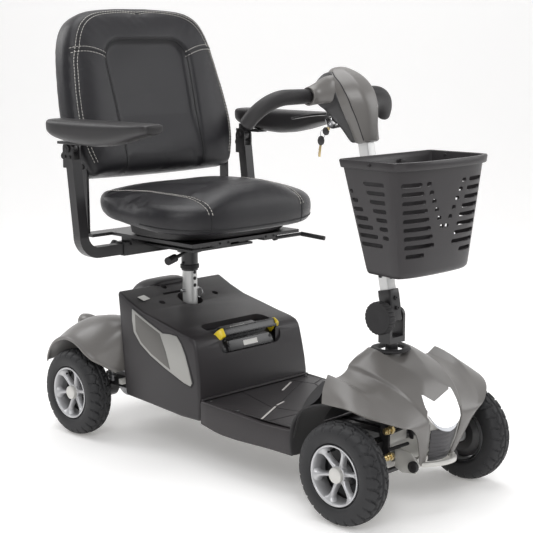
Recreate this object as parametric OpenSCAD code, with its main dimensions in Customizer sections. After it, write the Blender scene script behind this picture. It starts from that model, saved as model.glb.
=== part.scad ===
// Four-wheel portable mobility scooter, an assembly of separate named parts.
// Millimetres. +Z is up, the floor is z = 0, the scooter faces -Y, and the rider's right is -X.
// The origin lies on the floor in the middle of the wheelbase.

/* [Wheels] */
// Radius of the tyres
wheel_r = 100; // [98:0.5:101]
// Width of the tyres
tyre_w = 58; // [50:1:60]
// Distance between the front and rear axles
wheelbase = 828; // [824:1:832]
// Distance between the middles of the two tyres of an axle
track = 378; // [376:1:382]

/* [Deck and body] */
// Height of the foot deck
deck_z = 148; // [146:1:150]
// Width over the deck skirts
body_w = 332; // [326:1:334]
// Thickness of the moulded shells
shell = 4; // [3:0.5:4]

/* [Seat] */
// Distance of the seat post behind the middle of the wheelbase
post_y = 232; // [230:1:234]
// Width of the seat cushion
seat_w = 460; // [440:1:466]
// Length of the seat cushion from front to back
seat_l = 338; // [320:1:340]
// Height of the top of the seat cushion
seat_top = 604; // [595:1:608]
// Width of the backrest
back_w = 468; // [440:1:468]
// Angle that the backrest leans back
back_lean = 16; // [14:0.5:18]
// Distance between the middles of the two armrest tubes
arm_gap = 512; // [508:1:520]
// Height of the tops of the armrest pads
pad_top = 737; // [730:1:742]
// Angle that each armrest pad points inwards
pad_toe = 2.5; // [0:0.5:2.5]

/* [Tiller] */
// Height of the tiller's folding hinge
tilt_z = 367; // [365:1:370]
// Angle that the tiller leans towards the rider
tilt_lean = 12; // [10:0.5:13]
// Distance of the steering stem in front of the middle of the wheelbase
stem_y = 370; // [369:1:372]

/* [Hidden] */
$fn = 48;

axle_y = wheelbase / 2;
wheel_x = track / 2;
half_w = body_w / 2;
fit = 0.05;      // radial clearance of a shaft that turns in a bore
gap = 0.3;       // clearance between bodies that pass each other

// Steering
king_x = 128;
king_r = 6;
barrel_r = 13;
barrel_z = [80, 136];
plate_t = 6;
arm_dx = 14;     // pitman and knuckle arm, sideways
arm_dy = 45;     // pitman and knuckle arm, rearwards
rod_z = [87, 95];
stem_r = 12.7;
head_tube_z = [108, 262];

// Wheels
rim_r = 57.9;
hub_r = 17;
hub_in = 26;
hub_out = 18;
stub_r = 8;
half_shaft_r = 10;
spokes = 5;

// Shroud side profile, as (y, z)
shroud_outer = [
    [18, 101], [18, 156], [33, 262], [42, 273], [60, 279], [103, 286], [214, 310], [304, 350], [267, 113],
    [180, 108], [81, 101]
];
// The hollow inside it, open below and behind
shroud_inner = [
    [18 + shell, 90], [18 + shell, 156], [33 + shell, 261], [62, 279 - shell], [103, 286 - shell],
    [214, 310 - shell], [310, 350 - shell], [310, 90]
];

// Handlebar
grip_r = 14;
grip_bend = 78;
grip_drop = -56;

// Seat
post_r = 17;
post_in_r = 15;
bar_s = 24;      // side of the square armrest tubes
bar_z = 443;
bar_y = 295;
bar_clear = 0.1;
receiver_s = bar_s + 6;
rail_z = 459;
cushion_z = 480.2;
arm_x = arm_gap / 2;
arm_y = 320;
arm_pivot_z = 672;
tube_lean = 7;
ear_t = 4;
pad_l = 308;
pad_w = 62;
pad_out = 21;    // how far each pad sits outside its tube
back_pivot = [340, 628];
back_front = [300, 609];
ear_x = 206;    // inner face of the backrest hinge ears

// Turns a cylinder's axis from Z to X, Y
module along_x(p, r, l, fn = 48) { translate(p) rotate([0, 90, 0]) cylinder(r = r, h = l, $fn = fn); }
module along_y(p, r, l, fn = 48) { translate(p) rotate([-90, 0, 0]) cylinder(r = r, h = l, $fn = fn); }
module upright(p, r, l, fn = 48) { translate(p) cylinder(r = r, h = l, $fn = fn); }
// A box from its low corner to its high corner
module box(a, b) { translate(a) cube(b - a); }
// A round bar between two points
module rod(a, b, r, fn = 32) {
    d = b - a;
    l = norm(d);
    translate(a) rotate([0, acos(d[2] / l), atan2(d[1], d[0])]) cylinder(r = r, h = l, $fn = fn);
}
// The part on the rider's left is drawn; side = -1 mirrors it to the right
module on_side(side) { mirror([side < 0 ? 1 : 0, 0, 0]) children(); }
module both_sides() { for (s = [-1, 1]) on_side(s) children(); }
// Extrudes a (y, z) outline along X from x0 to x1
module side_profile(pts, x0, x1) {
    translate([x0, 0, 0]) rotate([90, 0, 90]) linear_extrude(height = x1 - x0) polygon(pts);
}
// Moves to the tiller's frame: origin on the folding hinge, +Z up the shaft, +Y towards the rider
module tiller_frame() { translate([0, -stem_y, tilt_z]) rotate([-tilt_lean, 0, 0]) children(); }
// Moves to a front or rear wheel's centre, with +X outwards on the left side
module wheel_frame(end) { translate([wheel_x, end * axle_y, wheel_r]) children(); }
// Half-axis outline of a superellipse, for cushions
function oval(a, b, n, from, to, steps) = [
    for (i = [0:steps]) let (t = from + (to - from) * i / steps)
        [a * sign(cos(t)) * pow(abs(cos(t)), 2 / n), b * sign(sin(t)) * pow(abs(sin(t)), 2 / n)]
];

// ---------------------------------------------------------------- frames
module rear_frame() {
    color("#26272a") difference() {
        union() {
            both_sides() {
                box([90, -238, 108], [115, axle_y - 10, 136]);
                along_x([90, axle_y, wheel_r], 27, 25);
            }
            for (y = [-238, 0, post_y - 12]) box([-115, y, 110], [115, y + 24, 134]);
            box([-92, 28, 126], [92, 98, 132]);
            upright([0, post_y, 108], post_r + 4, 110);
        }
        both_sides() along_x([89, axle_y, wheel_r], post_r, 27);
        upright([0, post_y, 120], post_r, 120);
    }
}

module front_frame() {
    color("#1d1e21") difference() {
        union() {
            upright([0, -stem_y, head_tube_z[0]], 20, head_tube_z[1] - head_tube_z[0]);
            both_sides() {
                box([6, -stem_y, 112], [34, -238, 134]);
                for (z = [barrel_z[0] - plate_t - gap, barrel_z[1] + gap]) {
                    box([0, -axle_y - barrel_r, z], [king_x, -axle_y + barrel_r, z + plate_t]);
                    upright([king_x, -axle_y, z], barrel_r, plate_t);
                }
                box([92, -axle_y - barrel_r, barrel_z[0] - gap], [102, -axle_y + barrel_r, barrel_z[1] + gap]);
            }
            box([-18, -axle_y + barrel_r - 1, 112], [18, -stem_y - 8, 142]);
        }
        upright([0, -stem_y, head_tube_z[0] - 1], 16, 200);
        both_sides() upright([king_x, -axle_y, 60], king_r, 100);
    }
}

module axle_beam() {
    color("silver") difference() {
        box([-92, -axle_y - 11, 84], [92, -axle_y + 9, 132]);
        box([-93, -axle_y - 8, 87], [93, -axle_y + 6, 129]);
        both_sides() box([34, -axle_y - 12, 94], [62, -axle_y - 7, 122]);
    }
}

module axle_pins() {
    color("#c9b26a") both_sides() {
        upright([king_x, -axle_y, barrel_z[0] - plate_t - 8], king_r, barrel_z[1] - barrel_z[0] + 2 * plate_t + 16);
        upright([king_x, -axle_y, barrel_z[1] + plate_t + gap], 10, 7, 6);
        upright([king_x, -axle_y, barrel_z[0] - plate_t - gap - 7], 10, 7, 6);
    }
}

module bumper_bracket() {
    color("silver") {
        box([-52, -axle_y - 46, 82], [52, -axle_y - 34, 100]);
        both_sides() {
            side_profile([
                [-axle_y - barrel_r - gap, 126], [-axle_y - 58, 122], [-axle_y - 76, 100], [-axle_y - 66, 80],
                [-axle_y - 30, 76], [-axle_y - barrel_r - gap, 84]
            ], 52, 56);
            along_x([56, -axle_y - 64, 96], 11, 9);
        }
        box([-44, -530, 97], [44, -524, 118]);
        both_sides() box([30, -525, 97], [36, -axle_y - 44, 103.7]);
    }
}

// ---------------------------------------------------------------- deck and body shells
module deck_pan() {
    color("#34353a") {
        box([-half_w, -257, deck_z - 8], [half_w, 14, deck_z - 4]);
        both_sides() side_profile([
            [-257, 91], [-184, 91], [-100, 88], [-42, 89], [14, 100], [14, deck_z + 3], [-257, deck_z - 4]
        ], half_w - shell, half_w);
        both_sides() box([40, -257, 100], [half_w - shell, -253, deck_z - 8]);
    }
}

module deck_mat() {
    color("#2b2c30") difference() {
        box([-half_w + shell + 2, -250, deck_z - 4], [half_w - shell - 2, 12, deck_z]);
        for (y = [-190, -115, -40]) box([-120, y, deck_z - 1.5], [120, y + 3, deck_z + 1]);
        both_sides() box([52, -240, deck_z - 1.5], [55, 4, deck_z + 1]);
    }
}

module rear_shroud() {
    color("#3a3b3f") difference() {
        side_profile(shroud_outer, -half_w + 2, half_w - 2);
        side_profile(shroud_inner, -half_w + 2 + shell, half_w - 2 - shell);
        box([-96, 10, 236], [96, 100, 330]);
        box([-119, 10, 90], [119, 30, 139]);
        upright([0, post_y, 200], 30, 200);
        both_sides() upright([82, post_y, 300], 8, 30);
    }
}

module side_panels() {
    color("#9a9a96") both_sides() side_profile([
        [248, 316], [138, 276], [94, 277], [68, 245], [40, 181], [48, 175], [88, 185], [179, 219], [240, 256]
    ], half_w - 2, half_w + 1);
}

module fender() {
    color("#8b8984") {
        difference() {
            along_x([112, axle_y, wheel_r], 134, 114, 96);
            along_x([108, axle_y, wheel_r], 129, 130, 96);
            box([100, axle_y - 150, -60], [240, axle_y + 150, wheel_r + 68]);
        }
        difference() {
            along_x([108, axle_y, wheel_r], 150, 4, 96);
            box([100, axle_y - 160, -60], [240, axle_y + 160, wheel_r + 40]);
            box([100, axle_y + 116, 0], [240, axle_y + 200, 300]);
        }
    }
}
module rear_fender_right() { on_side(-1) fender(); }
module rear_fender_left() { on_side(1) fender(); }

module rear_cover() {
    color("#37383c") difference() {
        side_profile([
            [308, 350], [318, 356], [352, 352], [364, 340], [372, 262], [440, 250], [500, 238], [530, 222],
            [530, 170], [500, 150], [285, 150]
        ], -104, 104);
        side_profile([
            [300, 345], [322, 352], [350, 348], [360, 337], [368, 258], [438, 246], [498, 234], [526, 219],
            [526, 174], [498, 155], [480, 140], [270, 140]
        ], -100, 100);
    }
}

// The hood outline: wide over the wheels and narrow at the nose
module hood_body(t) {
    hull() {
        for (s = [-1, 1]) {
            translate([s * (150 - t), -352, 240]) cube([28, 10, 60 - 2 * t], center = true);
            translate([s * (196 - t), -400, 224 - t / 2]) cube([12, 44, 24 - t], center = true);
            translate([s * (186 - t), -468, 216 - t / 2]) cube([12, 10, 12], center = true);
            translate([s * (44 - t), -498 + t, 200 - t]) cube([8, 10, 60], center = true);
            translate([s * 40, -366, 290 - t]) cube([20, 30, 22], center = true);
        }
    }
}
module front_shroud() {
    color("#8b8984") difference() {
        hood_body(0);
        translate([0, 2, -4]) hood_body(5);
        box([-220, -520, 100], [220, -340, 212]);
        translate([0, -stem_y, 200]) cylinder(r = 36, h = 130);
        box([-48, -540, 100], [48, -478, 244]);
    }
    color("#8b8984") both_sides() box([45.5, -505, 96], [51.5, -480, 213]);
}

module arch_liners() {
    color("#2a2a2d") both_sides() {
        difference() {
            along_x([106, -axle_y, wheel_r], 157, 96, 96);
            along_x([104, -axle_y, wheel_r], 153, 100, 96);
            box([100, -axle_y - 200, -80], [220, -axle_y + 110, 300]);
            box([100, -axle_y + 50, -80], [220, 0, 94]);
            box([100, -axle_y + 50, 206], [220, 0, 300]);
        }
    }
}

module headlight() {
    color("white") side_profile([[-512, 178], [-490, 240], [-482, 240], [-486, 178]], -45, 45);
}

module front_grille() {
    color("#2a2a2d") side_profile([[-512, 104], [-512, 174], [-500, 174], [-500, 104]], -40, 40);
}

// ---------------------------------------------------------------- drive
module transaxle() {
    color("#b9bbbd") difference() {
        union() {
            along_x([-46, axle_y, wheel_r], 38, 92);
            along_x([-148, axle_y, wheel_r], post_r, 296);
        }
        both_sides() along_x([19.5, axle_y, wheel_r], half_shaft_r + fit, 140);
    }
}

module drive_motor() {
    color("#202124") {
        along_y([0, axle_y - 118, 128], 32, 80);
        along_y([0, axle_y - 140, 128], 26, 22);
        along_y([0, axle_y - 148, 128], 18, 8);
    }
}

module rear_axle(side) {
    color("silver") on_side(side) {
        along_x([20, axle_y, wheel_r], half_shaft_r, wheel_x + hub_out - 20 + gap);
        along_x([wheel_x + hub_out + gap, axle_y, wheel_r], 13, 6, 6);
    }
}
module rear_axle_right() { rear_axle(-1); }
module rear_axle_left() { rear_axle(1); }

// ---------------------------------------------------------------- wheels
module tyre(end, side) {
    w = tyre_w / 2;
    color("#18191b") on_side(side) wheel_frame(end) rotate([0, 90, 0]) rotate_extrude($fn = 72) polygon([
        [rim_r + 0.1, -w + 8], [rim_r + 5, -w + 2], [wheel_r - 25, -w], [wheel_r - 12, -w + 1.5],
        [wheel_r - 4, -w + 8], [wheel_r, -w + 18], [wheel_r, w - 18], [wheel_r - 4, w - 8],
        [wheel_r - 12, w - 1.5], [wheel_r - 25, w], [rim_r + 5, w - 2], [rim_r + 0.1, w - 8]
    ]);
}
module tyre_front_right() { tyre(-1, -1); }
module tyre_front_left() { tyre(-1, 1); }
module tyre_rear_right() { tyre(1, -1); }
module tyre_rear_left() { tyre(1, 1); }

module rim(end, side, bore_r) {
    color("#c8cacc") on_side(side) wheel_frame(end) difference() {
        union() {
            rotate([0, 90, 0]) rotate_extrude($fn = 72)
                polygon([[52, -25], [rim_r, -25], [rim_r, 25], [52, 25]]);
            along_x([-hub_in, 0, 0], hub_r, hub_in + hub_out);
            for (i = [0:spokes - 1]) rotate([i * 360 / spokes, 0, 0]) box([6, -5, 12], [14, 5, 54]);
        }
        along_x([-hub_in - 1, 0, 0], bore_r, hub_in + hub_out + 2);
    }
}
module rim_front_right() { rim(-1, -1, stub_r + fit); }
module rim_front_left() { rim(-1, 1, stub_r + fit); }
module rim_rear_right() { rim(1, -1, half_shaft_r); }
module rim_rear_left() { rim(1, 1, half_shaft_r); }

// ---------------------------------------------------------------- steering
module knuckle(side) {
    color("#2b2c30") on_side(side) difference() {
        union() {
            upright([king_x, -axle_y, barrel_z[0]], barrel_r, barrel_z[1] - barrel_z[0]);
            along_x([king_x + 6, -axle_y, wheel_r], 12, wheel_x - hub_in - gap - king_x - 6);
            along_x([king_x + 6, -axle_y, wheel_r], stub_r, wheel_x + hub_out - king_x);
            along_x([wheel_x + hub_out + gap, -axle_y, wheel_r], 12, 5.5, 6);
            box([king_x - 8, -axle_y, 97], [king_x + 14, -axle_y + 12, 105]);
            box([king_x + arm_dx - 8, -axle_y + 6, 97], [king_x + arm_dx + 8, -axle_y + arm_dy + 8, 105]);
            upright([king_x + arm_dx, -axle_y + arm_dy, rod_z[0] - 2], 4, 14);
        }
        upright([king_x, -axle_y, 60], king_r + fit, 100);
    }
}
module knuckle_right() { knuckle(-1); }
module knuckle_left() { knuckle(1); }

// A track rod runs from the pitman arm's pin to the knuckle arm's pin
module track_rod(side) {
    a = [arm_dx, -stem_y + arm_dy, (rod_z[0] + rod_z[1]) / 2];
    b = [king_x + arm_dx, -axle_y + arm_dy, (rod_z[0] + rod_z[1]) / 2];
    color("silver") on_side(side) difference() {
        union() {
            rod(a, b, 3.5);
            for (p = [a, b]) upright([p[0], p[1], rod_z[0]], 7.5, rod_z[1] - rod_z[0]);
        }
        for (p = [a, b]) upright([p[0], p[1], rod_z[0] - 1], 4 + 0.1, 20);
    }
}
module track_rod_right() { track_rod(-1); }
module track_rod_left() { track_rod(1); }

module steering_bearings() {
    color("silver") for (z = [head_tube_z[0] + 2, head_tube_z[1] - 16]) difference() {
        upright([0, -stem_y, z], 16, 14);
        upright([0, -stem_y, z - 1], stem_r + fit, 16);
    }
}

module steering_stem() {
    color("#1d1e21") difference() {
        union() {
            upright([0, -stem_y, 97], stem_r, 225);
            upright([0, -stem_y, 97], 18, 8);
            box([-arm_dx - 8, -stem_y, 97], [arm_dx + 8, -stem_y + arm_dy + 8, 105]);
            upright([0, -stem_y, head_tube_z[1] + gap], 22, 6);
            box([-23, -stem_y - 15, 314], [23, -stem_y + 15, 326]);
            both_sides() {
                upright([arm_dx, -stem_y + arm_dy, rod_z[0] - 2], 4, 14);
                box([16.5, -stem_y - 15, 314], [23, -stem_y + 15, tilt_z]);
                along_x([16.5, -stem_y, tilt_z], 15, 6.5);
            }
        }
        along_x([-30, -stem_y, tilt_z], 5 + fit, 60);
    }
}

module tilt_knob() {
    color("#222326") difference() {
        union() {
            along_x([-45, -stem_y, tilt_z], 33, 18, 72);
            along_x([-27.5, -stem_y, tilt_z], 12, 4.2);
        }
        along_x([-60, -stem_y, tilt_z], 5 + fit, 60);
        for (i = [0:23]) translate([0, -stem_y, tilt_z]) rotate([i * 15, 0, 0]) along_x([-46, 0, 34], 2, 20, 16);
    }
}

// ---------------------------------------------------------------- tiller
module tiller_shaft() {
    color("#d8d9da") tiller_frame() {
        difference() {
            union() {
                box([-12, -12, 26], [12, 12, 372]);
                along_x([-16.2, 0, 0], 13, 32.4);
                box([-16.2, -11, 0], [16.2, 11, 48]);
            }
            box([-9.5, -9.5, 60], [9.5, 9.5, 380]);
        }
        along_x([-41, 0, 0], 5, 72);
        box([-36, -20, 120], [36, -12, 136]);
        box([-36, -26, 214], [36, -12, 230]);
        box([-36, -32, 270], [36, -12, 286]);
    }
}

// Outline of the basket in plan: straight back, bowed front
function basket_plan(w_back, w_front, back, front, bow) = concat(
    [[-w_back, back], [-w_front, front]],
    [for (i = [1:7]) [w_front * sin(-90 + i * 180 / 8), front - bow * cos(-90 + i * 180 / 8)]],
    [[w_front, front], [w_back, back]]
);
module basket_solid(t, z0, z1) {
    hull() {
        translate([0, 0, z0]) linear_extrude(height = 1)
            polygon(basket_plan(93 - t, 104 - t, -384 - t, -468 + t / 2, 20 - t / 2));
        translate([0, 0, z1]) linear_extrude(height = 1)
            polygon(basket_plan(134 - t, 138 - t, -352 - t, -476 + t / 2, 28 - t / 2));
    }
}
module basket() {
    color("#2c2d30") difference() {
        union() {
            basket_solid(0, 464, 682);
            translate([0, 0, 668]) linear_extrude(height = 15) polygon(basket_plan(139, 143, -348, -480, 30));
        }
        difference() {
            translate([0, 0, 4]) basket_solid(4, 464, 688);
            box([-200, -600, 400], [200, -300, 468]);
        }
        for (z = [500:18:626]) {
            both_sides() box([30, -520, z], [80, -440, z + 8]);
            both_sides() box([60, -462, z], [200, -400, z + 8]);
        }
    }
}

module head_block(t) {
    hull() {
        box([-24 + t, -21 + t, 336 - t], [24 - t, 12, 346]);
        box([-42 + t, -33 + t, 412], [42 - t, 45 - t, 424]);
        box([-34 + t, -8 + t, 488 - t], [34 - t, 50 - t, 496 - t]);
    }
}
module tiller_head() {
    color("#8b8984") tiller_frame() difference() {
        head_block(0);
        difference() {
            head_block(4);
            box([-40, -30, 372.3], [40, 30, 376]);
        }
        box([-60, 24, 300], [60, 120, 520]);
        box([-12.2, -12.2, 330], [12.2, 12.2, 372.3]);
    }
}
module key_frame() { tiller_frame() translate([-24, 54, 394]) rotate([60, 0, 0]) children(); }
module tiller_console() {
    color("#2b2c2f") difference() {
        tiller_frame() difference() {
            union() {
                box([-40, 24.3, 425], [40, 86, 470]);
                box([-32, 24.3, 424], [32, 48, 492]);
                along_x([-58.5, 74, 450], 19, 117);
                hull() {
                    box([-34, 24.3, 404], [34, 60, 425]);
                    box([-20, 24.3, 352], [20, 30, 360]);
                }
                upright([0, 78, 404], 4, 24);
            }
            box([-36, 24, 429], [36, 50, 466]);
            along_x([-70, 74, 450], 11, 140);
            upright([20, 66, 462], 3 + fit, 20);
            upright([-20, 66, 463], 6.2, 20);
        }
        key_frame() translate([0, 0, -20]) cylinder(r = 2.5 + fit, h = 32);
    }
}

// Each end of the bar bends down and back towards the rider, in a plane turned by grip_drop
module handlebar() {
    color("#242528") tiller_frame() translate([0, 74, 450]) rotate([tilt_lean, 0, 0]) {
        along_x([-60, 0, 0], 11, 120);
        both_sides() {
            along_x([59, 0, 0], grip_r, 70);
            translate([125, 0, 0]) rotate([grip_drop, 0, 0]) translate([0, grip_bend, 0]) rotate([0, 0, -90])
                rotate_extrude(angle = 80, $fn = 96) translate([grip_bend, 0]) circle(r = grip_r + 0.8, $fn = 32);
        }
    }
}

module wigwag_lever() {
    color("#1d1e21") tiller_frame() difference() {
        union() {
            upright([0, 78, 408], 10, 12);
            both_sides() {
                box([0, 74, 411], [70, 82, 416]);
                box([60, 72, 410], [112, 84, 414]);
            }
        }
        upright([0, 78, 400], 4 + fit, 30);
    }
}

module key() {
    color("#b8a468") key_frame() {
        translate([0, 0, -18]) cylinder(r = 2.5, h = 28);
        box([-1.2, -9, -40], [1.2, 9, -17]);
    }
}

module speed_dial() {
    color("#1d1e21") tiller_frame() {
        upright([20, 66, 470.5], 12, 8);
        upright([20, 66, 463], 3, 8);
    }
}

module horn_button() {
    color("#a03028") tiller_frame() upright([-20, 66, 466], 6, 9);
}

// ---------------------------------------------------------------- battery
module battery_box() {
    color("#27282b") {
        side_profile([[36, 137], [36, 232], [40, 238], [44, 262], [56, 272], [92, 282], [92, 137]], -92, 92);
        both_sides() side_profile([[46, 260], [30, 270], [34, 290], [44, 297], [60, 290], [60, 270]], 62, 76);
        along_x([-76, 40, 284], 9, 152);
    }
}

// ---------------------------------------------------------------- seat post and base
module seat_post_lower() {
    color("#cfd0d1") difference() {
        upright([0, post_y, 120], post_r, 263);
        upright([0, post_y, 200], post_in_r + fit, 200);
    }
}
module seat_post_upper() {
    color("#1d1e21") {
        upright([0, post_y, 204], post_in_r, 222);
        upright([0, post_y, 384], post_r + 2, 42);
        upright([0, post_y, 420], 11, 22);
    }
}

module swivel_base() {
    color("#1d1e21") difference() {
        union() {
            upright([0, post_y, 426 + gap], 28, 20);
            box([-92, 120, 446], [92, 276, 451]);
            both_sides() {
                box([54, 125, 451], [82, 272, rail_z]);
                box([54, 96, rail_z], [82, 330, rail_z + 7]);
            }
        }
        upright([0, post_y, 400], 11 + fit, 48);
    }
}
module swivel_lever() {
    color("#1d1e21") {
        rod([-36, 190, 437], [-104, 170, 428], 4);
        rod([-94, 173, 429.3], [-121, 165, 425.7], 9);
        along_y([-36, 184, 437], 5.5, 16);
    }
}
module seat_rails() {
    color("#1d1e21") difference() {
        union() {
            both_sides() {
                box([50, 40, rail_z + 7.4], [86, 300, rail_z + 14.5]);
                box([96, 276, bar_z + 8], [132, 312, rail_z + 21]);
                box([60, 312, rail_z + 14], [ear_x + 6, 350, rail_z + 21]);
                box([ear_x, 328, rail_z + 14], [ear_x + 6, 352, back_pivot[1]]);
                along_x([ear_x, back_pivot[0], back_pivot[1]], 14, 6);
            }
            box([-160, 40, rail_z + 14], [160, 312, rail_z + 21]);
            box([-150, bar_y - receiver_s / 2, bar_z - receiver_s / 2],
                [150, bar_y + receiver_s / 2, bar_z + receiver_s / 2]);
        }
        box([-151, bar_y - bar_s / 2 - bar_clear, bar_z - bar_s / 2 - bar_clear],
            [151, bar_y + bar_s / 2 + bar_clear, bar_z + bar_s / 2 + bar_clear]);
        both_sides() along_x([ear_x - 1, back_pivot[0], back_pivot[1]], 5 + fit, 8);
    }
}
module slide_lever() {
    color("#1d1e21") {
        along_x([100, 60, 464], 4, 90);
        rod([188, 60, 464], [204, 2, 458], 5);
        along_x([100, 60, 464], 6, 8);
    }
}

// ---------------------------------------------------------------- cushions
module seat_cushion() {
    a = seat_w / 2;
    b = seat_l / 2;
    color("#2c2c30") intersection() {
        translate([0, 164, cushion_z]) linear_extrude(height = seat_top - cushion_z)
            polygon(concat(oval(a, b, 4, 0, 180, 24), oval(a, b, 2.3, 187.5, 352.5, 22)));
        side_profile([
            [-20, cushion_z], [-20, seat_top - 20], [30, seat_top], [120, seat_top - 2], [220, seat_top - 10],
            [300, seat_top - 22], [345, seat_top - 40], [345, cushion_z]
        ], -300, 300);
    }
}

// Moves to the backrest's frame: origin on its lower front edge, +Z up its face, +Y to its back
module back_frame() {
    translate([0, back_front[0], back_front[1]]) rotate([-back_lean, 0, 0]) children();
}
module backrest_cushion() {
    a = back_w / 2;
    side = [[a - 2, 130], [a - 14, 90], [ear_x - 10, 60], [ear_x - 12, 24], [ear_x - 36, 0]];
    color("#2c2c30") back_frame() translate([0, 62, 0]) rotate([90, 0, 0]) linear_extrude(height = 62)
        polygon(concat(
            [for (p = oval(a, 215, 2.7, 0, 180, 28)) [p[0], p[1] + 170]],
            [for (p = side) [-p[0], p[1]]],
            [for (i = [len(side) - 1:-1:0]) side[i]]
        ));
}
module backrest_hinge() {
    color("#1d1e21") {
        back_frame() {
            both_sides() box([120, 62.2, 14], [146, 68, 240]);
            box([-ear_x + 5, 62.2, 14], [ear_x - 5, 68, 44]);
        }
        both_sides() {
            along_x([ear_x - 6, back_pivot[0], back_pivot[1]], 14, 5.6);
            back_frame() box([ear_x - 6, 30, 17], [ear_x - 1, 68, 42]);
            along_x([ear_x - 6, back_pivot[0], back_pivot[1]], 5, 14);
        }
    }
}

// ---------------------------------------------------------------- armrests
module arm_top() { translate([arm_x, arm_y, 0]) rotate([0, 0, -pad_toe]) children(); }
module armrest_tube(side) {
    r = 40;
    x_in = 60;
    h = bar_s / 2;
    bend = [for (i = [0:10]) 9 * i];
    color("#1d1e21") on_side(side) difference() {
        union() {
            translate([0, bar_y + h, 0]) rotate([90, 0, 0]) linear_extrude(height = bar_s) polygon(concat(
                [[x_in, bar_z - h]],
                [for (t = bend) [arm_x - r + (r + h) * sin(t), bar_z + r - (r + h) * cos(t)]],
                [for (t = bend) [arm_x - r + (r - h) * sin(90 - t), bar_z + r - (r - h) * cos(90 - t)]],
                [[x_in, bar_z + h]]
            ));
            translate([arm_x, bar_y, bar_z + r]) rotate([-tube_lean, 0, 0])
                box([-h + 0.3, -h, -4], [h - 0.3, h, 165]);
            arm_top() for (s = [-1, 1]) translate([s * 10 - ear_t / 2, 0, 0]) {
                box([0, -16, 630], [ear_t, 16, arm_pivot_z]);
                along_x([0, 0, arm_pivot_z], 16, ear_t);
            }
        }
        arm_top() along_x([-30, 0, arm_pivot_z], 5 + fit, 60);
    }
}
module armrest_tube_right() { armrest_tube(-1); }
module armrest_tube_left() { armrest_tube(1); }

// The pad's underside: thin in front, deepest behind its middle
function belly(s) = pad_top - 16 - 41 * pow(sin(180 * pow(s, 0.8)), 0.8);
module armrest_pad(side) {
    n = 16;
    color("#26272a") on_side(side) arm_top() {
        side_profile(concat(
            [[18, pad_top], [18 - pad_l, pad_top]],
            [for (i = [0:n]) [18 - pad_l + pad_l * i / n, belly(1 - i / n) + (i == n ? -12 : 0)]]
        ), pad_out - pad_w / 2, pad_out + pad_w / 2);
        box([-6, -11, arm_pivot_z], [6, 11, 712]);
        along_x([-7.6, 0, arm_pivot_z], 14, 15.2);
        along_x([-16, 0, arm_pivot_z], 5, 32);
    }
}
module armrest_pad_right() { armrest_pad(-1); }
module armrest_pad_left() { armrest_pad(1); }

module width_knob(side) {
    color("#1d1e21") on_side(side) {
        along_y([136, bar_y + receiver_s / 2 + gap, bar_z], 4, 14);
        along_y([136, bar_y + receiver_s / 2 + 12, bar_z], 16, 14);
    }
}
module width_knob_right() { width_knob(-1); }
module width_knob_left() { width_knob(1); }

rear_frame();
front_frame();
axle_beam();
axle_pins();
bumper_bracket();
deck_pan();
deck_mat();
rear_shroud();
side_panels();
rear_fender_right();
rear_fender_left();
rear_cover();
front_shroud();
arch_liners();
headlight();
front_grille();
transaxle();
drive_motor();
seat_post_lower();
steering_bearings();
battery_box();
tyre_front_right();
tyre_front_left();
tyre_rear_right();
tyre_rear_left();
rim_front_right();
rim_front_left();
rim_rear_right();
rim_rear_left();
rear_axle_right();
rear_axle_left();
knuckle_right();
knuckle_left();
track_rod_right();
track_rod_left();
steering_stem();
tilt_knob();
tiller_shaft();
basket();
tiller_head();
tiller_console();
handlebar();
wigwag_lever();
key();
speed_dial();
horn_button();
seat_post_upper();
swivel_base();
swivel_lever();
seat_rails();
slide_lever();
seat_cushion();
backrest_cushion();
backrest_hinge();
armrest_tube_right();
armrest_tube_left();
armrest_pad_right();
armrest_pad_left();
width_knob_right();
width_knob_left();
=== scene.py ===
import math

import bmesh
import bpy
from mathutils import Matrix, Vector
from mathutils.bvhtree import BVHTree


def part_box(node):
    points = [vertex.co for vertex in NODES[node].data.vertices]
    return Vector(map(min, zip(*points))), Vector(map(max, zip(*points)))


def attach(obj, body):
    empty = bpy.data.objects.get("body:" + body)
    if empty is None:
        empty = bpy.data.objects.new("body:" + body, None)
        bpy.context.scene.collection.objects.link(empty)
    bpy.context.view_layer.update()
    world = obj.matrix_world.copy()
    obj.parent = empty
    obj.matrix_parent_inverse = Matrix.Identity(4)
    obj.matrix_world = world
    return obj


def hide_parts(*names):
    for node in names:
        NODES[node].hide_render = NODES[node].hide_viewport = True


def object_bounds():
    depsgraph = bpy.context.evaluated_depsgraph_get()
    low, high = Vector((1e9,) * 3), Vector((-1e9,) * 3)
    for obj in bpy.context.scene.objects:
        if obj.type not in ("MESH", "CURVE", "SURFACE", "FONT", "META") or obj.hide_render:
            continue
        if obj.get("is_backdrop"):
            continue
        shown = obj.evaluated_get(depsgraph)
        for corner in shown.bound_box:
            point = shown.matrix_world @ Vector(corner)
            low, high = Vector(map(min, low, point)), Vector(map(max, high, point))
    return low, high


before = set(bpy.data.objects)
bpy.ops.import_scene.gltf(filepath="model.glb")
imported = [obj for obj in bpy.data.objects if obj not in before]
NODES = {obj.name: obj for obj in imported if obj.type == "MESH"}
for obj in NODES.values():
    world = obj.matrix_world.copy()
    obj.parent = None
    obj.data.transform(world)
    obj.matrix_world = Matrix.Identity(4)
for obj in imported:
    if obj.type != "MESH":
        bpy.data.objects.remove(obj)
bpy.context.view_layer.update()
MM = 0.001

# Driving places, in millimetres, in the row frame: x to the left, y to the rear, z up
WHEEL_X, AXLE_Y, WHEEL_R = 189.0, 414.0, 100.0
RIM_SEAT = 58.2
MAT_TOP = 147.2
POST_Y = 232
TILLER_Y, TILLER_Z = -370, 367
TILLER_LEAN = 12
BACK_Y, BACK_Z, BACK_LEAN = 300, 609, 16
ARM_X, ARM_Y, ARM_TOE = 256, 320, 2.5
ARM_PIVOT_Z = 672
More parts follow.
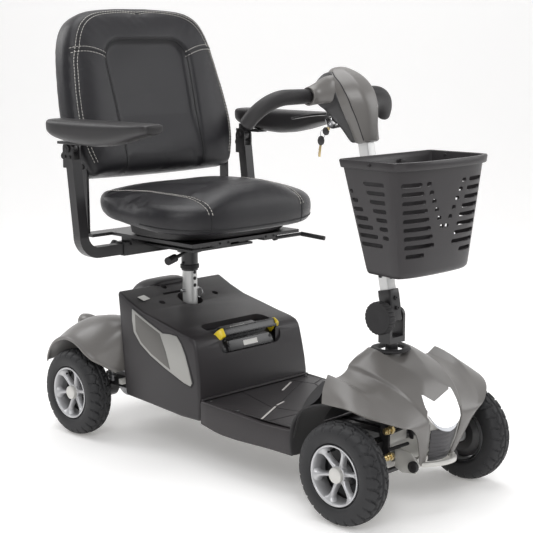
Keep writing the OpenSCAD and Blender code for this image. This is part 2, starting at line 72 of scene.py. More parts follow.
# in the tiller's own frame: v to the rear, w up along the tube
HORN_X, DIAL_X, DIAL_V = -20, 20, 66
BAR_V, BAR_W = 74, 450
BASKET_LOW, BASKET_TOP = 464, 682


# ------------------------------------------------------------------ materials
def material(name, color, rough, metal=0.0, bump=0.0, scale=400.0, coat=0.0, vary=0.06, spec=0.5, emit=0.0):
    """A finish whose roughness varies slightly over the piece, with a fine surface grain."""
    m = bpy.data.materials.new(name)
    m.use_nodes = True
    nt = m.node_tree
    b = nt.nodes["Principled BSDF"]
    b.inputs["Base Color"].default_value = (*color, 1.0)
    b.inputs["Metallic"].default_value = metal
    b.inputs["Roughness"].default_value = rough
    b.inputs["Specular IOR Level"].default_value = spec
    b.inputs["Coat Weight"].default_value = coat
    b.inputs["Coat Roughness"].default_value = 0.25
    if emit:
        b.inputs["Emission Color"].default_value = (1.0, 0.98, 0.94, 1.0)
        b.inputs["Emission Strength"].default_value = emit
    co = nt.nodes.new("ShaderNodeTexCoord")
    broad = nt.nodes.new("ShaderNodeTexNoise")
    broad.inputs["Scale"].default_value = 9.0
    broad.inputs["Detail"].default_value = 4.0
    nt.links.new(co.outputs["Object"], broad.inputs["Vector"])
    ramp = nt.nodes.new("ShaderNodeMapRange")
    ramp.inputs["To Min"].default_value = max(0.03, rough - vary)
    ramp.inputs["To Max"].default_value = min(1.0, rough + vary)
    nt.links.new(broad.outputs["Fac"], ramp.inputs["Value"])
    nt.links.new(ramp.outputs["Result"], b.inputs["Roughness"])
    if bump:
        fine = nt.nodes.new("ShaderNodeTexNoise")
        fine.inputs["Scale"].default_value = scale
        fine.inputs["Detail"].default_value = 3.0
        nt.links.new(co.outputs["Object"], fine.inputs["Vector"])
        bp = nt.nodes.new("ShaderNodeBump")
        bp.inputs["Strength"].default_value = bump
        bp.inputs["Distance"].default_value = 0.0006
        nt.links.new(fine.outputs["Fac"], bp.inputs["Height"])
        nt.links.new(bp.outputs["Normal"], b.inputs["Normal"])
    return m


M = {
    "charcoal": material("charcoal_plastic", (0.029, 0.0262, 0.0278), 0.36, bump=0.25, scale=900, spec=0.4),
    "deck": material("deck_plastic", (0.033, 0.0290, 0.0305), 0.42, bump=0.3, scale=900, spec=0.4),
    "mat": material("deck_rubber", (0.030, 0.0270, 0.0285), 0.46, bump=0.5, scale=700, spec=0.4),
    "grey": material("warm_grey_plastic", (0.152, 0.144, 0.136), 0.34, bump=0.12, scale=900, coat=0.25),
    "silver": material("silver_panel", (0.34, 0.335, 0.318), 0.34, metal=0.25, bump=0.1, scale=900),
    "panel_dark": material("panel_inset", (0.125, 0.120, 0.112), 0.38, metal=0.2, bump=0.1, scale=900),
    "black": material("black_paint", (0.018, 0.017, 0.018), 0.38, bump=0.12, scale=500, coat=0.2),
    "black_matt": material("black_matt", (0.016, 0.015, 0.016), 0.62, bump=0.35, scale=500),
    "tyre": material("tyre_rubber", (0.015, 0.015, 0.0165), 0.58, bump=0.35, scale=600),
    "rim": material("rim_silver", (0.52, 0.52, 0.53), 0.40, metal=0.6, bump=0.08, scale=700, coat=0.3),
    "steel": material("bright_steel", (0.60, 0.60, 0.61), 0.28, metal=1.0, bump=0.1, scale=300),
    "zinc": material("yellow_zinc", (0.72, 0.58, 0.30), 0.30, metal=1.0, bump=0.08, scale=300),
    "cast": material("cast_steel", (0.30, 0.30, 0.31), 0.48, metal=0.9, bump=0.4, scale=250),
    "shaft": material("silver_paint", (0.70, 0.70, 0.69), 0.32, metal=0.35, bump=0.08, scale=600, coat=0.2),
    "bracket": material("bracket_silver", (0.62, 0.61, 0.58), 0.40, metal=0.3, bump=0.15, scale=500),
    "leather": material("black_vinyl", (0.013, 0.0122, 0.0145), 0.33, bump=0.55, scale=1500, vary=0.05, spec=0.45),
    "pad": material("moulded_foam", (0.021, 0.0195, 0.0205), 0.42, bump=0.4, scale=900),
    "thread": material("light_thread", (0.62, 0.60, 0.56), 0.7, bump=0.3, scale=2500),
    "seam": material("seam_dark", (0.008, 0.008, 0.009), 0.6, bump=0.3, scale=1500),
    "grip": material("grip_foam", (0.018, 0.0165, 0.0175), 0.52, bump=0.6, scale=1100),
    "yellow": material("yellow_clip", (0.80, 0.60, 0.02), 0.35, bump=0.1, scale=600, coat=0.2),
    "label": material("blank_label", (0.70, 0.69, 0.66), 0.45, bump=0.05, scale=600),
    "strip": material("anti_slip_strip", (0.50, 0.48, 0.46), 0.7, bump=0.9, scale=1800),
    "battery": material("battery_case", (0.014, 0.0135, 0.0145), 0.28, bump=0.1, scale=700, coat=0.25),
    "lens": material("lamp_lens", (0.95, 0.96, 1.0), 0.12, emit=0.6, coat=0.8, spec=0.6),
    "lens_clear": material("lamp_bezel", (0.62, 0.64, 0.68), 0.12, metal=0.2, coat=0.9),
    "grille": material("grille_plastic", (0.050, 0.048, 0.052), 0.42, bump=0.3, scale=1200),
    "red": material("red_plastic", (0.45, 0.02, 0.02), 0.35, bump=0.1, scale=600, coat=0.3),
    "teal": material("teal_plug", (0.02, 0.28, 0.26), 0.4, bump=0.1, scale=600),
    "brass": material("key_brass", (0.66, 0.52, 0.28), 0.3, metal=1.0, bump=0.1, scale=400),
    "floor": material("studio_floor", (0.93, 0.925, 0.925), 0.7, bump=0.02, scale=60, emit=0.22),
}


# ------------------------------------------------------------------ meshes
def link(ob):
    """Puts an object into the scene."""
    bpy.context.scene.collection.objects.link(ob)
    return ob


def bake(ob):
    """Applies the object's modifiers."""
    bpy.context.view_layer.update()
    dg = bpy.context.evaluated_depsgraph_get()
    me = bpy.data.meshes.new_from_object(ob.evaluated_get(dg))
    old = ob.data
    ob.modifiers.clear()
    ob.data = me
    bpy.data.meshes.remove(old)
    return ob


def shade(ob, angle=38.0):
    """Smooth shading, with edges sharper than the angle left sharp."""
    ob.data.shade_smooth()
    ob.data.set_sharp_from_angle(angle=math.radians(angle))
    return ob


def angles(n):
    """The angles of n equal steps round a circle."""
    return [2 * math.pi * j / n for j in range(n)]


def at(x, y, z, *turns):
    """A place, with turns of (degrees, axis) made one after the other."""
    m = Matrix.Translation((x, y, z))
    for degrees, axis in turns:
        m = m @ Matrix.Rotation(math.radians(degrees), 4, axis)
    return m


def hoops(start, out, profile, n):
    """Rings of n points about a line from start: the profile is (radius, distance along it)."""
    q = Vector(out).to_track_quat("Z", "Y")
    return [[Vector(start) + q @ Vector((r * math.cos(t), r * math.sin(t), d)) for t in angles(n)]
            for r, d in profile]


class Kit:
    """Collects shapes, in millimetres, that become one piece."""

    def __init__(self):
        self.v, self.f = [], []

    def add(self, verts, faces, m=None):
        """Adds points and faces, moved by m."""
        o = len(self.v)
        for p in verts:
            p = Vector(p)
            self.v.append(m @ p if m else p)
        self.f += [[i + o for i in q] for q in faces]
        return self

    def box(self, a, b, m=None):
        """A block between two corners."""
        x0, y0, z0 = a
        x1, y1, z1 = b
        vs = [(x0, y0, z0), (x1, y0, z0), (x1, y1, z0), (x0, y1, z0), (x0, y0, z1), (x1, y0, z1), (x1, y1, z1),
                (x0, y1, z1)]
        fs = [(0, 3, 2, 1), (4, 5, 6, 7), (0, 1, 5, 4), (1, 2, 6, 5), (2, 3, 7, 6), (3, 0, 4, 7)]
        return self.add(vs, fs, m)

    def loft(self, rings, cap=True, close=True, m=None):
        """A skin over rings of points, with its ends capped."""
        n = len(rings[0])
        vs = [p for r in rings for p in r]
        fs = []
        for i in range(len(rings) - 1):
            for j in range(n if close else n - 1):
                k = (j + 1) % n
                fs.append((i * n + j, i * n + k, (i + 1) * n + k, (i + 1) * n + j))
        if cap and close:
            fs.append(tuple(range(n))[::-1])
            fs.append(tuple((len(rings) - 1) * n + j for j in range(n)))
        return self.add(vs, fs, m)

    def turn(self, profile, centre, axis="X", n=32, cap=True, out=1, m=None):
        """Turns a profile of (radius, distance along the axis) about an axis through a centre."""
        rings = []
        for r, d in profile:
            ring = []
            for t in angles(n):
                c, s = r * math.cos(t), r * math.sin(t)
                p = {"X": (d * out, c, s), "Y": (s, d * out, c), "Z": (c, s, d * out)}[axis]
                ring.append(Vector(centre) + Vector(p))
            rings.append(ring)
        return self.loft(rings, cap=cap, m=m)

    def rod(self, a, b, r, n=20, chamfer=0.0, m=None):
        """A round bar from a to b."""
        a, b = Vector(a), Vector(b)
        length = (b - a).length
        profile = [(r, 0), (r, length)]
        if chamfer:
            profile = [(r - chamfer, 0), (r, chamfer), (r, length - chamfer), (r - chamfer, length)]
        return self.loft(hoops(a, (b - a).normalized(), profile, n), m=m)

    def bolt(self, start, out, r=5.0, h=4.0):
        """A hexagon-socket cap head that stands on start and faces out."""
        profile = [(r, 0), (r, h * 0.8), (r * 0.88, h), (r * 0.5, h), (r * 0.5, h * 0.4)]
        return self.loft(hoops(start, Vector(out).normalized(), profile, 18))

    def hexnut(self, start, out, r=7.0, h=5.0):
        """A hexagon nut with the end of its bolt."""
        a, d = Vector(start), Vector(out).normalized()
        self.loft(hoops(a, d, ((r * 0.94, 0), (r, h * 0.15), (r, h * 0.85), (r * 0.9, h)), 6))
        return self.rod(a + d * h, a + d * (h + 2.5), r * 0.45, 12)

    def sweep(self, path, section, up=(0, 0, 1), closed=False, cap=True):
        """Carries a section, a list of (across, up) or a function of the share along it, along a path."""
        pts = [Vector(p) for p in path]
        rings = []
        n = len(pts)
        prev = None
        for i, p in enumerate(pts):
            if closed:
                t = (pts[(i + 1) % n] - pts[i - 1]).normalized()
            else:
                t = (pts[min(i + 1, n - 1)] - pts[max(i - 1, 0)]).normalized()
            if prev is None:
                side = t.cross(Vector(up))
                if side.length < 1e-6:
                    side = t.cross(Vector((1, 0, 0)))
                side.normalize()
            else:
                side = (prev - t * prev.dot(t)).normalized()
            prev = side
            u = side.cross(t).normalized()
            sec = section(i / (n - 1)) if callable(section) else section
            rings.append([p + side * a + u * b for a, b in sec])
        if closed:
            rings.append(rings[0])
        return self.loft(rings, cap=cap and not closed)

    def make(self, name, mat, body, slot=None, replaces=(), bevel=0.0, seg=2, angle=38.0, sub=0, solid=0.0,
            offset=-1.0):
        """Makes the piece: its finish, the body it rides on, its material slot (not used), and the CAD nodes it
        stands for.
        """
        me = bpy.data.meshes.new(name)
        me.from_pydata([p * MM for p in self.v], [], self.f)
        bm = bmesh.new()
        bm.from_mesh(me)
        bmesh.ops.remove_doubles(bm, verts=bm.verts, dist=0.01 * MM)
        bmesh.ops.dissolve_degenerate(bm, dist=1e-7, edges=bm.edges)
        bmesh.ops.recalc_face_normals(bm, faces=bm.faces)
        bm.to_mesh(me)
        bm.free()
        ob = link(bpy.data.objects.new(name, me))
        ob.data.materials.append(M[mat])
        if solid:
            md = ob.modifiers.new("s", "SOLIDIFY")
            md.thickness = solid * MM
            md.offset = offset
            md.use_even_offset = True
        if sub:
            md = ob.modifiers.new("u", "SUBSURF")
            md.levels = md.render_levels = sub
        if bevel:
            md = ob.modifiers.new("b", "BEVEL")
            md.width = bevel * MM
            md.segments = seg
            md.limit_method = "ANGLE"
            md.angle_limit = math.radians(32)
        if ob.modifiers:
            bake(ob)
        shade(ob, angle)
        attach(ob, body)
        if replaces:
            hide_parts(*replaces)
        return ob


def circle(r, n=16):
    """A round section."""
    return [(r * math.cos(t), r * math.sin(t)) for t in angles(n)]


def curve(points, steps=6):
    """A smooth line through the points."""
    pts = [Vector(p) for p in points]
    n = len(pts)
    out = []
    for i in range(n - 1):
        p0 = pts[i - 1] if i > 0 else pts[0] * 2 - pts[1]
        p1, p2 = pts[i], pts[i + 1]
        p3 = pts[i + 2] if i + 2 < n else p2 * 2 - p1
        for k in range(steps):
            t = k / steps
            out.append(0.5 * ((2 * p1) + (p2 - p0) * t + (2 * p0 - 5 * p1 + 4 * p2 - p3) * t * t
                              + (3 * p1 - p0 - 3 * p2 + p3) * t ** 3))
    out.append(pts[-1])
    return out


def lerp(table, x):
    """Reads a table of (x, value) pairs between its entries."""
    if x <= table[0][0]:
        return table[0][1]
    for (a, va), (b, vb) in zip(table, table[1:]):
        if x <= b:
            return va + (vb - va) * (x - a) / (b - a)
    return table[-1][1]


def cut(ob, kit):
    c = kit.make("cutter", "black", "chassis")
    md = ob.modifiers.new("x", "BOOLEAN")
    md.object = c
    md.operation = "DIFFERENCE"
    md.solver = "EXACT"
    bake(ob)
    bpy.data.objects.remove(c)
    return shade(ob)


def dress(node, mat, bevel=0.0, seg=2, angle=35):
    """Shows a CAD node with a finish and softened edges."""
    ob = NODES[node]
    ob.data.materials.clear()
    ob.data.materials.append(M[mat])
    ob.data.shade_smooth()
    ob.data.set_sharp_from_angle(angle=math.radians(angle))
    if bevel:
        md = ob.modifiers.new("soft_edges", "BEVEL")
        md.width = bevel * MM
        md.segments = seg
        md.limit_method = "ANGLE"
        md.angle_limit = math.radians(40)
        md.harden_normals = True
    return ob


# ------------------------------------------------------------------ wheels
# (radius, distance from the middle), from one bead round the tread to the other
TYRE = [
    (60, -21), (62.5, -26), (67, -28.2), (72, -29), (78, -29), (83, -28.2), (86.5, -27.2), (90, -25.6), (93.2, -23),
    (96, -19.2), (98, -14.5), (99.3, -9.5), (99.9, -5), (100, 0), (99.9, 5), (99.3, 9.5), (98, 14.5), (96, 19.2),
    (93.2, 23), (90, 25.6), (86.5, 27.2), (83, 28.2), (78, 29), (72, 29), (67, 28.2), (62.5, 26), (60, 21),
]


def tread_depth(t, d, r):
    """How deep the tread is cut at angle t, distance d from the middle and radius r."""
    e = abs(d)
    if r < 84.5:
        return -max(0.0, 1 - abs(r - 75)) * 0.5
    pitch = 26
    if e < 2.2:
        return 2.6
    zig = 2.6 * math.sin(t * pitch)
    if abs(e - 11.5 - zig) < 1.5:
        return 2.8
    phase = (t * pitch / (2 * math.pi) + (0.5 if d > 0 else 0.0) + e * 0.018) % 1.0
    if e > 12.5 + zig:
        return 3.0 if phase < 0.20 else 0.0
    phase = (t * pitch / (2 * math.pi) + (0.25 if d > 0 else 0.75) - e * 0.03) % 1.0
    return 2.2 if phase < 0.11 else 0.0


def wheel(end, side):
    """Tyre, rim, hub and valve of the wheel at an end (-1 front) and on a side (-1 right)."""
    c = Vector((side * WHEEL_X, end * AXLE_Y, WHEEL_R))
    name = ("front" if end < 0 else "rear") + ("_right" if side < 0 else "_left")
    body = "wheel_" + name
    prof = curve([(r, d, 0) for r, d in TYRE], 3)
    n = 312
    k = Kit()
    rings = []
    for p in prof:
        r, d = p.x, p.y
        deep = [(t, r - tread_depth(t, d, r)) for t in angles(n)]
        rings.append([c + Vector((d * side, q * math.cos(t), q * math.sin(t))) for t, q in deep])
    for d in (21, -21):
        rings.append([c + Vector((d * side, RIM_SEAT * math.cos(t), RIM_SEAT * math.sin(t))) for t in angles(n)])
    k.loft(rings + [rings[0]], cap=False)
    k.make("tyre_%s_tread" % name, "tyre", body, "tyre_rubber", ["tyre_" + name], angle=50)
    # barrel with a rolled lip on the outside
    k = Kit()
    k.turn([(57.8, -24), (58.2, -22), (57.8, 20), (58.2, 23), (59.4, 25.5), (58.6, 27), (56.2, 26.6),
            (54.6, 24), (53.8, 18),
            (52.6, 12), (52.6, -22), (54.2, -25)], c, "X", 96, cap=False, out=side)
    # six slender spokes, ridged in front and flared where they meet the barrel
    for i in range(6):
        a0 = math.radians(169 + 60 * i)
        rings = []
        for r, w, d0, d1 in ((11, 11, 13, 3), (17, 8, 15, 3), (24, 6.2, 16.4, 4), (32, 5.6, 17.6, 6),
                (40, 6.2, 18.8, 8), (46, 8.5, 20.2, 9),
                             (50, 13, 21.8, 9), (53.5, 22, 23.8, 8), (55.5, 30, 25.2, 7)):
            section = ((-w * 0.9, d1), (w * 0.9, d1), (w * 0.55, d0 - 2.2), (w * 0.25, d0), (-w * 0.25, d0),
                    (-w * 0.55, d0 - 2.2))
            rings.append([c + Vector((h * side, r * math.cos(a0) - u * math.sin(a0),
                    r * math.sin(a0) + u * math.cos(a0)))
                          for u, h in section])
        k.loft(rings)
    k.turn([(17.5, -25), (17.5, 10), (16.6, 14.5), (15, 16)], c, "X", 40, out=side)
    k.make("rim_%s_star" % name, "rim", body, "rim_silver", ["rim_" + name], bevel=0.7, angle=30)
    k = Kit().turn([(15.4, 12), (15.6, 21.5), (14.8, 23.6), (12.4, 24.6), (6, 25.0), (0.3, 25.1)], c, "X", 40,
            out=side)
    k.make("hub_cap_" + name, "bracket", body, "rim_silver", angle=40)
    k = Kit().turn([(20, -22), (34, -21), (50, -12), (51.5, -6), (51, -14), (36, -24), (20, -25)], c, "X", 64,
            cap=False, out=side)
    for i in range(5):
        a0 = 2 * math.pi * (i + 0.75) / 5
        k.bolt(c + Vector((-21 * side, 26 * math.cos(a0), 26 * math.sin(a0))), (side, 0, 0), 3.4, 4)
    k.turn([(27, -20), (27, -10), (23, -7), (16, -7)], c, "X", 40, out=side)
    k.make("hub_disc_" + name, "black", body, "rim_silver", angle=30)
    k = Kit()
    a0 = 2 * math.pi * 0.75 / 5
    p = c + Vector((2 * side, 47 * math.cos(a0), 47 * math.sin(a0)))
    k.rod(p - Vector((9 * side, 0, 0)), p + Vector((12 * side, 0, 0)), 2.6, 12, chamfer=0.6)
    k.rod(p + Vector((7 * side, 0, 0)), p + Vector((13.5 * side, 0, 0)), 3.4, 12, chamfer=0.8)
    k.make("tyre_valve_" + name, "black_matt", body, "tyre_rubber")


for end in (-1, 1):
    for side in (-1, 1):
        wheel(end, side)


# ------------------------------------------------------------------ rear body and deck
def width_at(z):
    """Half width of the rear shroud at a height."""
    return lerp([(100, 166), (150, 165), (240, 160), (290, 157), (350, 155)], z)


def rounded(cx, cy, hx, hy, r, n=5):
    """A rounded rectangle as (a, b) points."""
    out = []
    for q, (sx, sy) in enumerate(((1, 1), (-1, 1), (-1, -1), (1, -1))):
        for i in range(n + 1):
            t = math.pi / 2 * (q + i / n)
            out.append((cx + sx * (hx - r) + r * math.cos(t), cy + sy * (hy - r) + r * math.sin(t)))
    return out


SHROUD = [(18, 103), (18, 158), (21, 190), (27, 225), (33, 254), (37, 266), (45, 274.5), (60, 280), (103, 288),
        (160, 300),
          (214, 311), (262, 328), (304, 347), (297, 300), (283, 210), (268, 114), (180, 109), (81, 102)]
k = Kit()
k.loft([[(side * width_at(z), y, z) for y, z in SHROUD] for side in (1, -1)])
shroud = k.make("rear_shroud_shell", "charcoal", "chassis", "shroud_charcoal", ["rear_shroud"], bevel=7, seg=4,
        angle=30)
k = Kit()
k.loft([[(a, b, z) for a, b in rounded(0, 68.5, 94, 33.5, 20)] for z in (130, 400)])
cut(shroud, k)
k = Kit()
k.loft([[(a, y, b) for a, b in rounded(0, 266, 93.2, 31, 20)] for y in (36.2, 0)])
cut(shroud, k)
k = Kit()
k.turn([(29, 0), (29, 240)], (0, POST_Y, 95), "Z", 48)
k.box((-112, 30, 90), (112, 290, 133))
for s in (-1, 1):
    k.turn([(7.5, 0), (7.5, 60)], (s * 80, 236, 303), "Z", 24)
k.turn([(7.5, 0), (7.5, 60)], (-30, 290, 320), "Z", 24)
cut(shroud, k)
k = Kit()
k.loft([[(a, b, z) for a, b in rounded(-8, 316, 62, 16, 8)] for z in (322, 400)])
k.loft([[(a, b, z) for a, b in rounded(-26, 266, 26, 3.5, 3)] for z in (310, 400)])
cut(shroud, k)
shade(shroud, 30)

k = Kit()
k.box((-160, 10.5, 148.2), (160, 19, 152.4))
k.make("shroud_foot_lip", "charcoal", "chassis", "shroud_charcoal", bevel=1.4, seg=3)
k = Kit()
for s in (-1, 1):
    k.turn([(7, 0), (7, 3), (5, 4.4), (0.4, 4.8)], (s * 80, 236, 306), "Z", 20)
k.turn([(7, 0), (7, 3), (5, 4.4), (0.4, 4.8)], (-30, 290, 323), "Z", 20)
k.make("shroud_plugs", "black_matt", "chassis", "shroud_charcoal")
k = Kit()
k.box((-66, 300, 322), (52, 331, 326))
k.box((-60, 318, 326), (46, 330, 332))
k.make("rear_hatch_well", "black_matt", "chassis", "shroud_charcoal", bevel=1)
k = Kit()
k.loft([[(a, b, z) for a, b in rounded(-8, 312, 17, 8, 5)] for z in (326, 334)])
k.make("charge_port_cap", "red", "chassis", "shroud_charcoal", bevel=1.2)
k = Kit()
k.box((-13, -9, 0), (13, 9, 0.6), at(-112, 262, 329.5, (17, "Z"), (22, "X")))
k.make("blank_data_plate", "label", "chassis", "shroud_charcoal")

# two-tone accent panel on each side, in a dark surround
PANEL = [(248, 314), (196, 294), (142, 275), (118, 277), (96, 276), (80, 262), (66, 240), (52, 210), (41, 183),
        (46, 175),
         (68, 179), (92, 187), (134, 201), (180, 219), (216, 239), (240, 262), (247, 288)]


def inset(outline, d):
    """The outline moved in by d."""
    out = []
    n = len(outline)
    for i in range(n):
        p0, p, p2 = Vector(outline[i - 1]), Vector(outline[i]), Vector(outline[(i + 1) % n])
        a, b = (p - p0).normalized(), (p2 - p).normalized()
        na, nb = Vector((-a.y, a.x)), Vector((-b.y, b.x))
        h = na + nb
        h = h / max(h.length_squared / 2, 0.35)
        out.append(tuple(p + h * d))
    return out


# the darker field inside the band
PANEL_FIELD = [(236, 304), (196, 289), (150, 273), (128, 236), (112, 200), (134, 208), (176, 224), (212, 244),
        (232, 266)]
for s, tag in ((-1, "right"), (1, "left")):
    for shape, grow, d0, d1, mat, nm in ((PANEL, -3.0, -2.0, 0.9, "black_matt", "surround"),
                                         (PANEL, 0.4, -1.0, 2.6, "silver", "band"),
                                         (PANEL_FIELD, 0.0, 0.5, 3.5, "panel_dark", "inset")):
        k = Kit()
        k.loft([[(s * (width_at(z) + d), y, z) for y, z in inset(shape, grow)] for d in (d0, d1)])
        k.make("side_%s_%s" % (nm, tag), mat, "chassis", "panel_silver", ["side_panels"], bevel=1.1, seg=3)

# deck
k = Kit()
rings = []
for y in [-257 + 271 * i / 12 for i in range(13)]:
    top = lerp([(-257, 143), (-173, 140), (-102, 144.5), (14, 150)], y)
    low = lerp([(-257, 91), (-184, 91), (-100, 88), (-42, 89), (14, 100)], y)
    half = [(166, low), (166, top - 5), (164.4, top - 1.4), (161, top), (152, min(top, 144.5)), (0, 144.5)]
    back = [(0, 140), (158, 140), (161, top - 10), (162.5, low)]
    ring = [(x, y, z) for x, z in half] + [(-x, y, z) for x, z in half[-2::-1]]
    ring += [(-x, y, z) for x, z in back[::-1]] + [(x, y, z) for x, z in back[1:]]
    rings.append(ring)
k.loft(rings)
k.make("deck_tray", "deck", "chassis", "deck_plastic", ["deck_pan"], bevel=1.2, seg=2, angle=30)
k = Kit()
k.loft([[(a, b, z) for a, b in rounded(0, -119, 157, 131, 4)] for z in (144.2, 147.2)])
mat_sheet = k.make("deck_mat_sheet", "mat", "chassis", "deck_mat", ["deck_mat"], bevel=0.8, seg=2)


def mat_line(a, b, z):
    """A frame whose x axis runs from a to b on the mat, and the line's length."""
    a, b = Vector(a), Vector(b)
    d = b - a
    return Matrix.Translation((a.x, a.y, z)) @ Matrix.Rotation(math.atan2(d.y, d.x), 4, "Z"), d.length


GROOVES = [((-48, 8), (-86, -118)), ((-86, -118), (-68, -180)), ((-157, -186), (-40, -196)),
        ((-68, -180), (-60, -250)),
         ((-157, -170), (-76, -124)), ((-66, -117), (100, -26)), ((99, 8), (112, -54)), ((112, -54), (157, -36)),
         ((112, -54), (76, -150)), ((76, -150), (157, -170)), ((76, -150), (-60, -186)), ((76, -150), (84, -250))]
for a, b in GROOVES:
    m, length = mat_line(a, b, MAT_TOP - 1)
    cut(mat_sheet, Kit().box((-1, -1.3, 0), (length + 1, 1.3, 4), m))
shade(mat_sheet, 30)
k = Kit()
for a, b in (((23, -43), (86, -7)), ((-160, -166), (-77, -122)), ((-68, -117), (-38, -108)),
        ((100, -118), (152, -90))):
    m, length = mat_line(a, b, MAT_TOP - 0.1)
    k.box((0, -2.2, 0), (length, 2.2, 0.7), m)
k.make("anti_slip_strips", "strip", "chassis", "deck_mat", bevel=0.25)
k = Kit()
for x, y in ((145, 4), (153, -88), (153, -240), (40, -240)):
    for s in (-1, 1):
        k.turn([(5, 0), (5, 1), (3.8, 2), (2.2, 2), (2.2, 0.8)], (s * x, y, 147), "Z", 18)
k.make("deck_screws", "black", "chassis", "deck_mat")

# battery: case, sloped top, handle bar with end clips
k = Kit()
rings = []
for z, y0 in ((138, 37), (234, 37), (244, 40), (252, 45), (262, 56), (270, 68), (276, 80)):
    rings.append([(a, b, z) for a, b in rounded(0, (y0 + 91) / 2, 90, (91 - y0) / 2, min(17, (91 - y0) / 2 - 0.4))])
k.loft(rings)
k.make("battery_case", "battery", "battery", "battery_black", ["battery_box"], bevel=1.5, seg=2)
k = Kit()
top_face = at(0, 70, 268, (22, "X"))
k.loft([[(a, b, z) for a, b in rounded(0, 3, 62 - 4 * i, 17 - 2 * i, 7)] for i, z in enumerate((-6, 4, 8))],
        m=top_face)
low_face = at(0, 38, 247, (72, "X"))
k.loft([[(a, b, z) for a, b in rounded(0, 0, 66 - 2 * i, 15 - 2 * i, 4)] for i, z in enumerate((-6, 2, 4))],
        m=low_face)
for s in (-1, 1):
    k.rod((s * 62, 48, 249), (s * 62, 34, 251), 4.0, 14, chamfer=0.6)
k.make("battery_top_relief", "battery", "battery", "battery_black", bevel=1.0)
k = Kit()
path = [(-85, 54, 262), (-84, 46, 270), (-80, 41, 276), (-70, 39, 278.5), (0, 38, 279), (70, 39, 278.5),
        (80, 41, 276), (84, 46, 270), (85, 54, 262)]
bar = curve(path, 5)
k.sweep(bar, rounded(0, 0, 6.2, 9, 3.2, 3), up=(0, -0.6, 1))
k.make("battery_handle", "battery", "battery", "battery_black", bevel=0.4, angle=40)
k = Kit()
for part in (bar[:15], bar[-15:]):
    k.sweep(part, rounded(0, 0, 7.4, 10.2, 3.6, 3), up=(0, -0.6, 1))
k.make("battery_clips", "yellow", "battery", "battery_black", bevel=0.5, angle=40)
k = Kit()
k.box((-24, -5.5, 8.1), (20, 7.5, 8.5), top_face)
k.box((-20, -5.5, 4.1), (22, 5.5, 4.5), low_face)
k.make("battery_blank_labels", "label", "battery", "battery_black")

# rear cover and tail
k = Kit()
rings = []
for y, hw, top, low in ((297, 80, 350, 150), (306, 84, 355, 150), (330, 90, 356, 148), (350, 92, 351, 148),
        (361, 96, 338, 148), (368, 98, 290, 148),
                        (376, 100, 262, 148), (402, 101, 256, 148), (440, 101, 249, 150), (470, 100, 243, 154),
                        (500, 95, 236, 162), (520, 86, 226, 172), (528, 72, 216, 182)):
    ring = []
    for i in range(25):
        t = math.pi * i / 24
        ring.append((hw * math.copysign(abs(math.cos(t)) ** 0.55, math.cos(t)), y,
                low + (top - low) * abs(math.sin(t)) ** 0.34))
    rings.append(ring)
k.loft(rings)
k.make("rear_cover_shell", "charcoal", "chassis", "shroud_charcoal", ["rear_cover"], bevel=1.5, seg=2, angle=35)
k = Kit()
for s in (-1, 1):
    k.turn([(0.5, -30), (12, -28), (17, -20), (19, 0), (17, 18), (12, 24), (0.5, 25)], (s * 108, 478, 242), "Y", 28)
k.make("tail_bumps", "grey", "chassis", "fender_grey")
k = Kit()
for s in (-1, 1):
    k.turn([(0.5, 0), (11, 0), (11, 2.6), (9, 4), (0.5, 4.6)], (s * 108, 499, 242), "Y", 24)
k.make("rear_reflectors", "red", "chassis", "fender_grey")

# rear mudguards
R_OUT = [(30, 113), (37, 117), (60, 124), (85, 129), (110, 124), (128, 120), (140, 121), (152, 122)]
R_MID = [(30, 119), (60, 131), (85, 137), (110, 139), (128, 143), (140, 137), (152, 126)]
R_IN = [(30, 123), (50, 146), (75, 160), (95, 172), (113, 192), (126, 200), (138, 178), (152, 130)]
X_OUT = [(30, 205), (60, 213), (120, 215), (132, 206), (142, 184), (152, 160)]
for s, tag in ((-1, "right"), (1, "left")):
    k = Kit()
    rings = []
    for i in range(33):
        a = 30 + 122 * i / 32
        ro, rm, ri, xo = lerp(R_OUT, a), lerp(R_MID, a), lerp(R_IN, a), lerp(X_OUT, a)
        cs, sn = math.cos(math.radians(a)), math.sin(math.radians(a))
        sect = [(xo, ro - 4), (xo, ro), (xo - 2, ro + 2.5), (xo - 6, ro + 4), (xo - 14, rm - 2),
                (xo - 30, rm + (ri - rm) * 0.30),
                (xo - 48, rm + (ri - rm) * 0.66), (max(xo - 68, 128), ri - 3), (max(xo - 84, 112), ri),
                (101, ri - 4)]
        rings.append([(s * x, AXLE_Y + r * cs, WHEEL_R + r * sn) for x, r in sect])
    k.loft(rings, cap=False, close=False)
    k.make("rear_mudguard_" + tag, "grey", "chassis", "fender_grey", ["rear_fender_" + tag], sub=1, solid=3.2,
            angle=60, offset=0)
k = Kit()
for s in (-1, 1):
    k.rod((s * 118, 296, 150), (s * 112, 282, 196), 2.4, 10)
    k.rod((s * 128, 294, 166), (s * 118, 280, 200), 2.4, 10)
    k.box((min(s * 96, s * 150), 300, 128), (max(s * 96, s * 150), 312, 140))
k.make("mudguard_stays", "bracket", "chassis", "fender_grey", bevel=0.6)


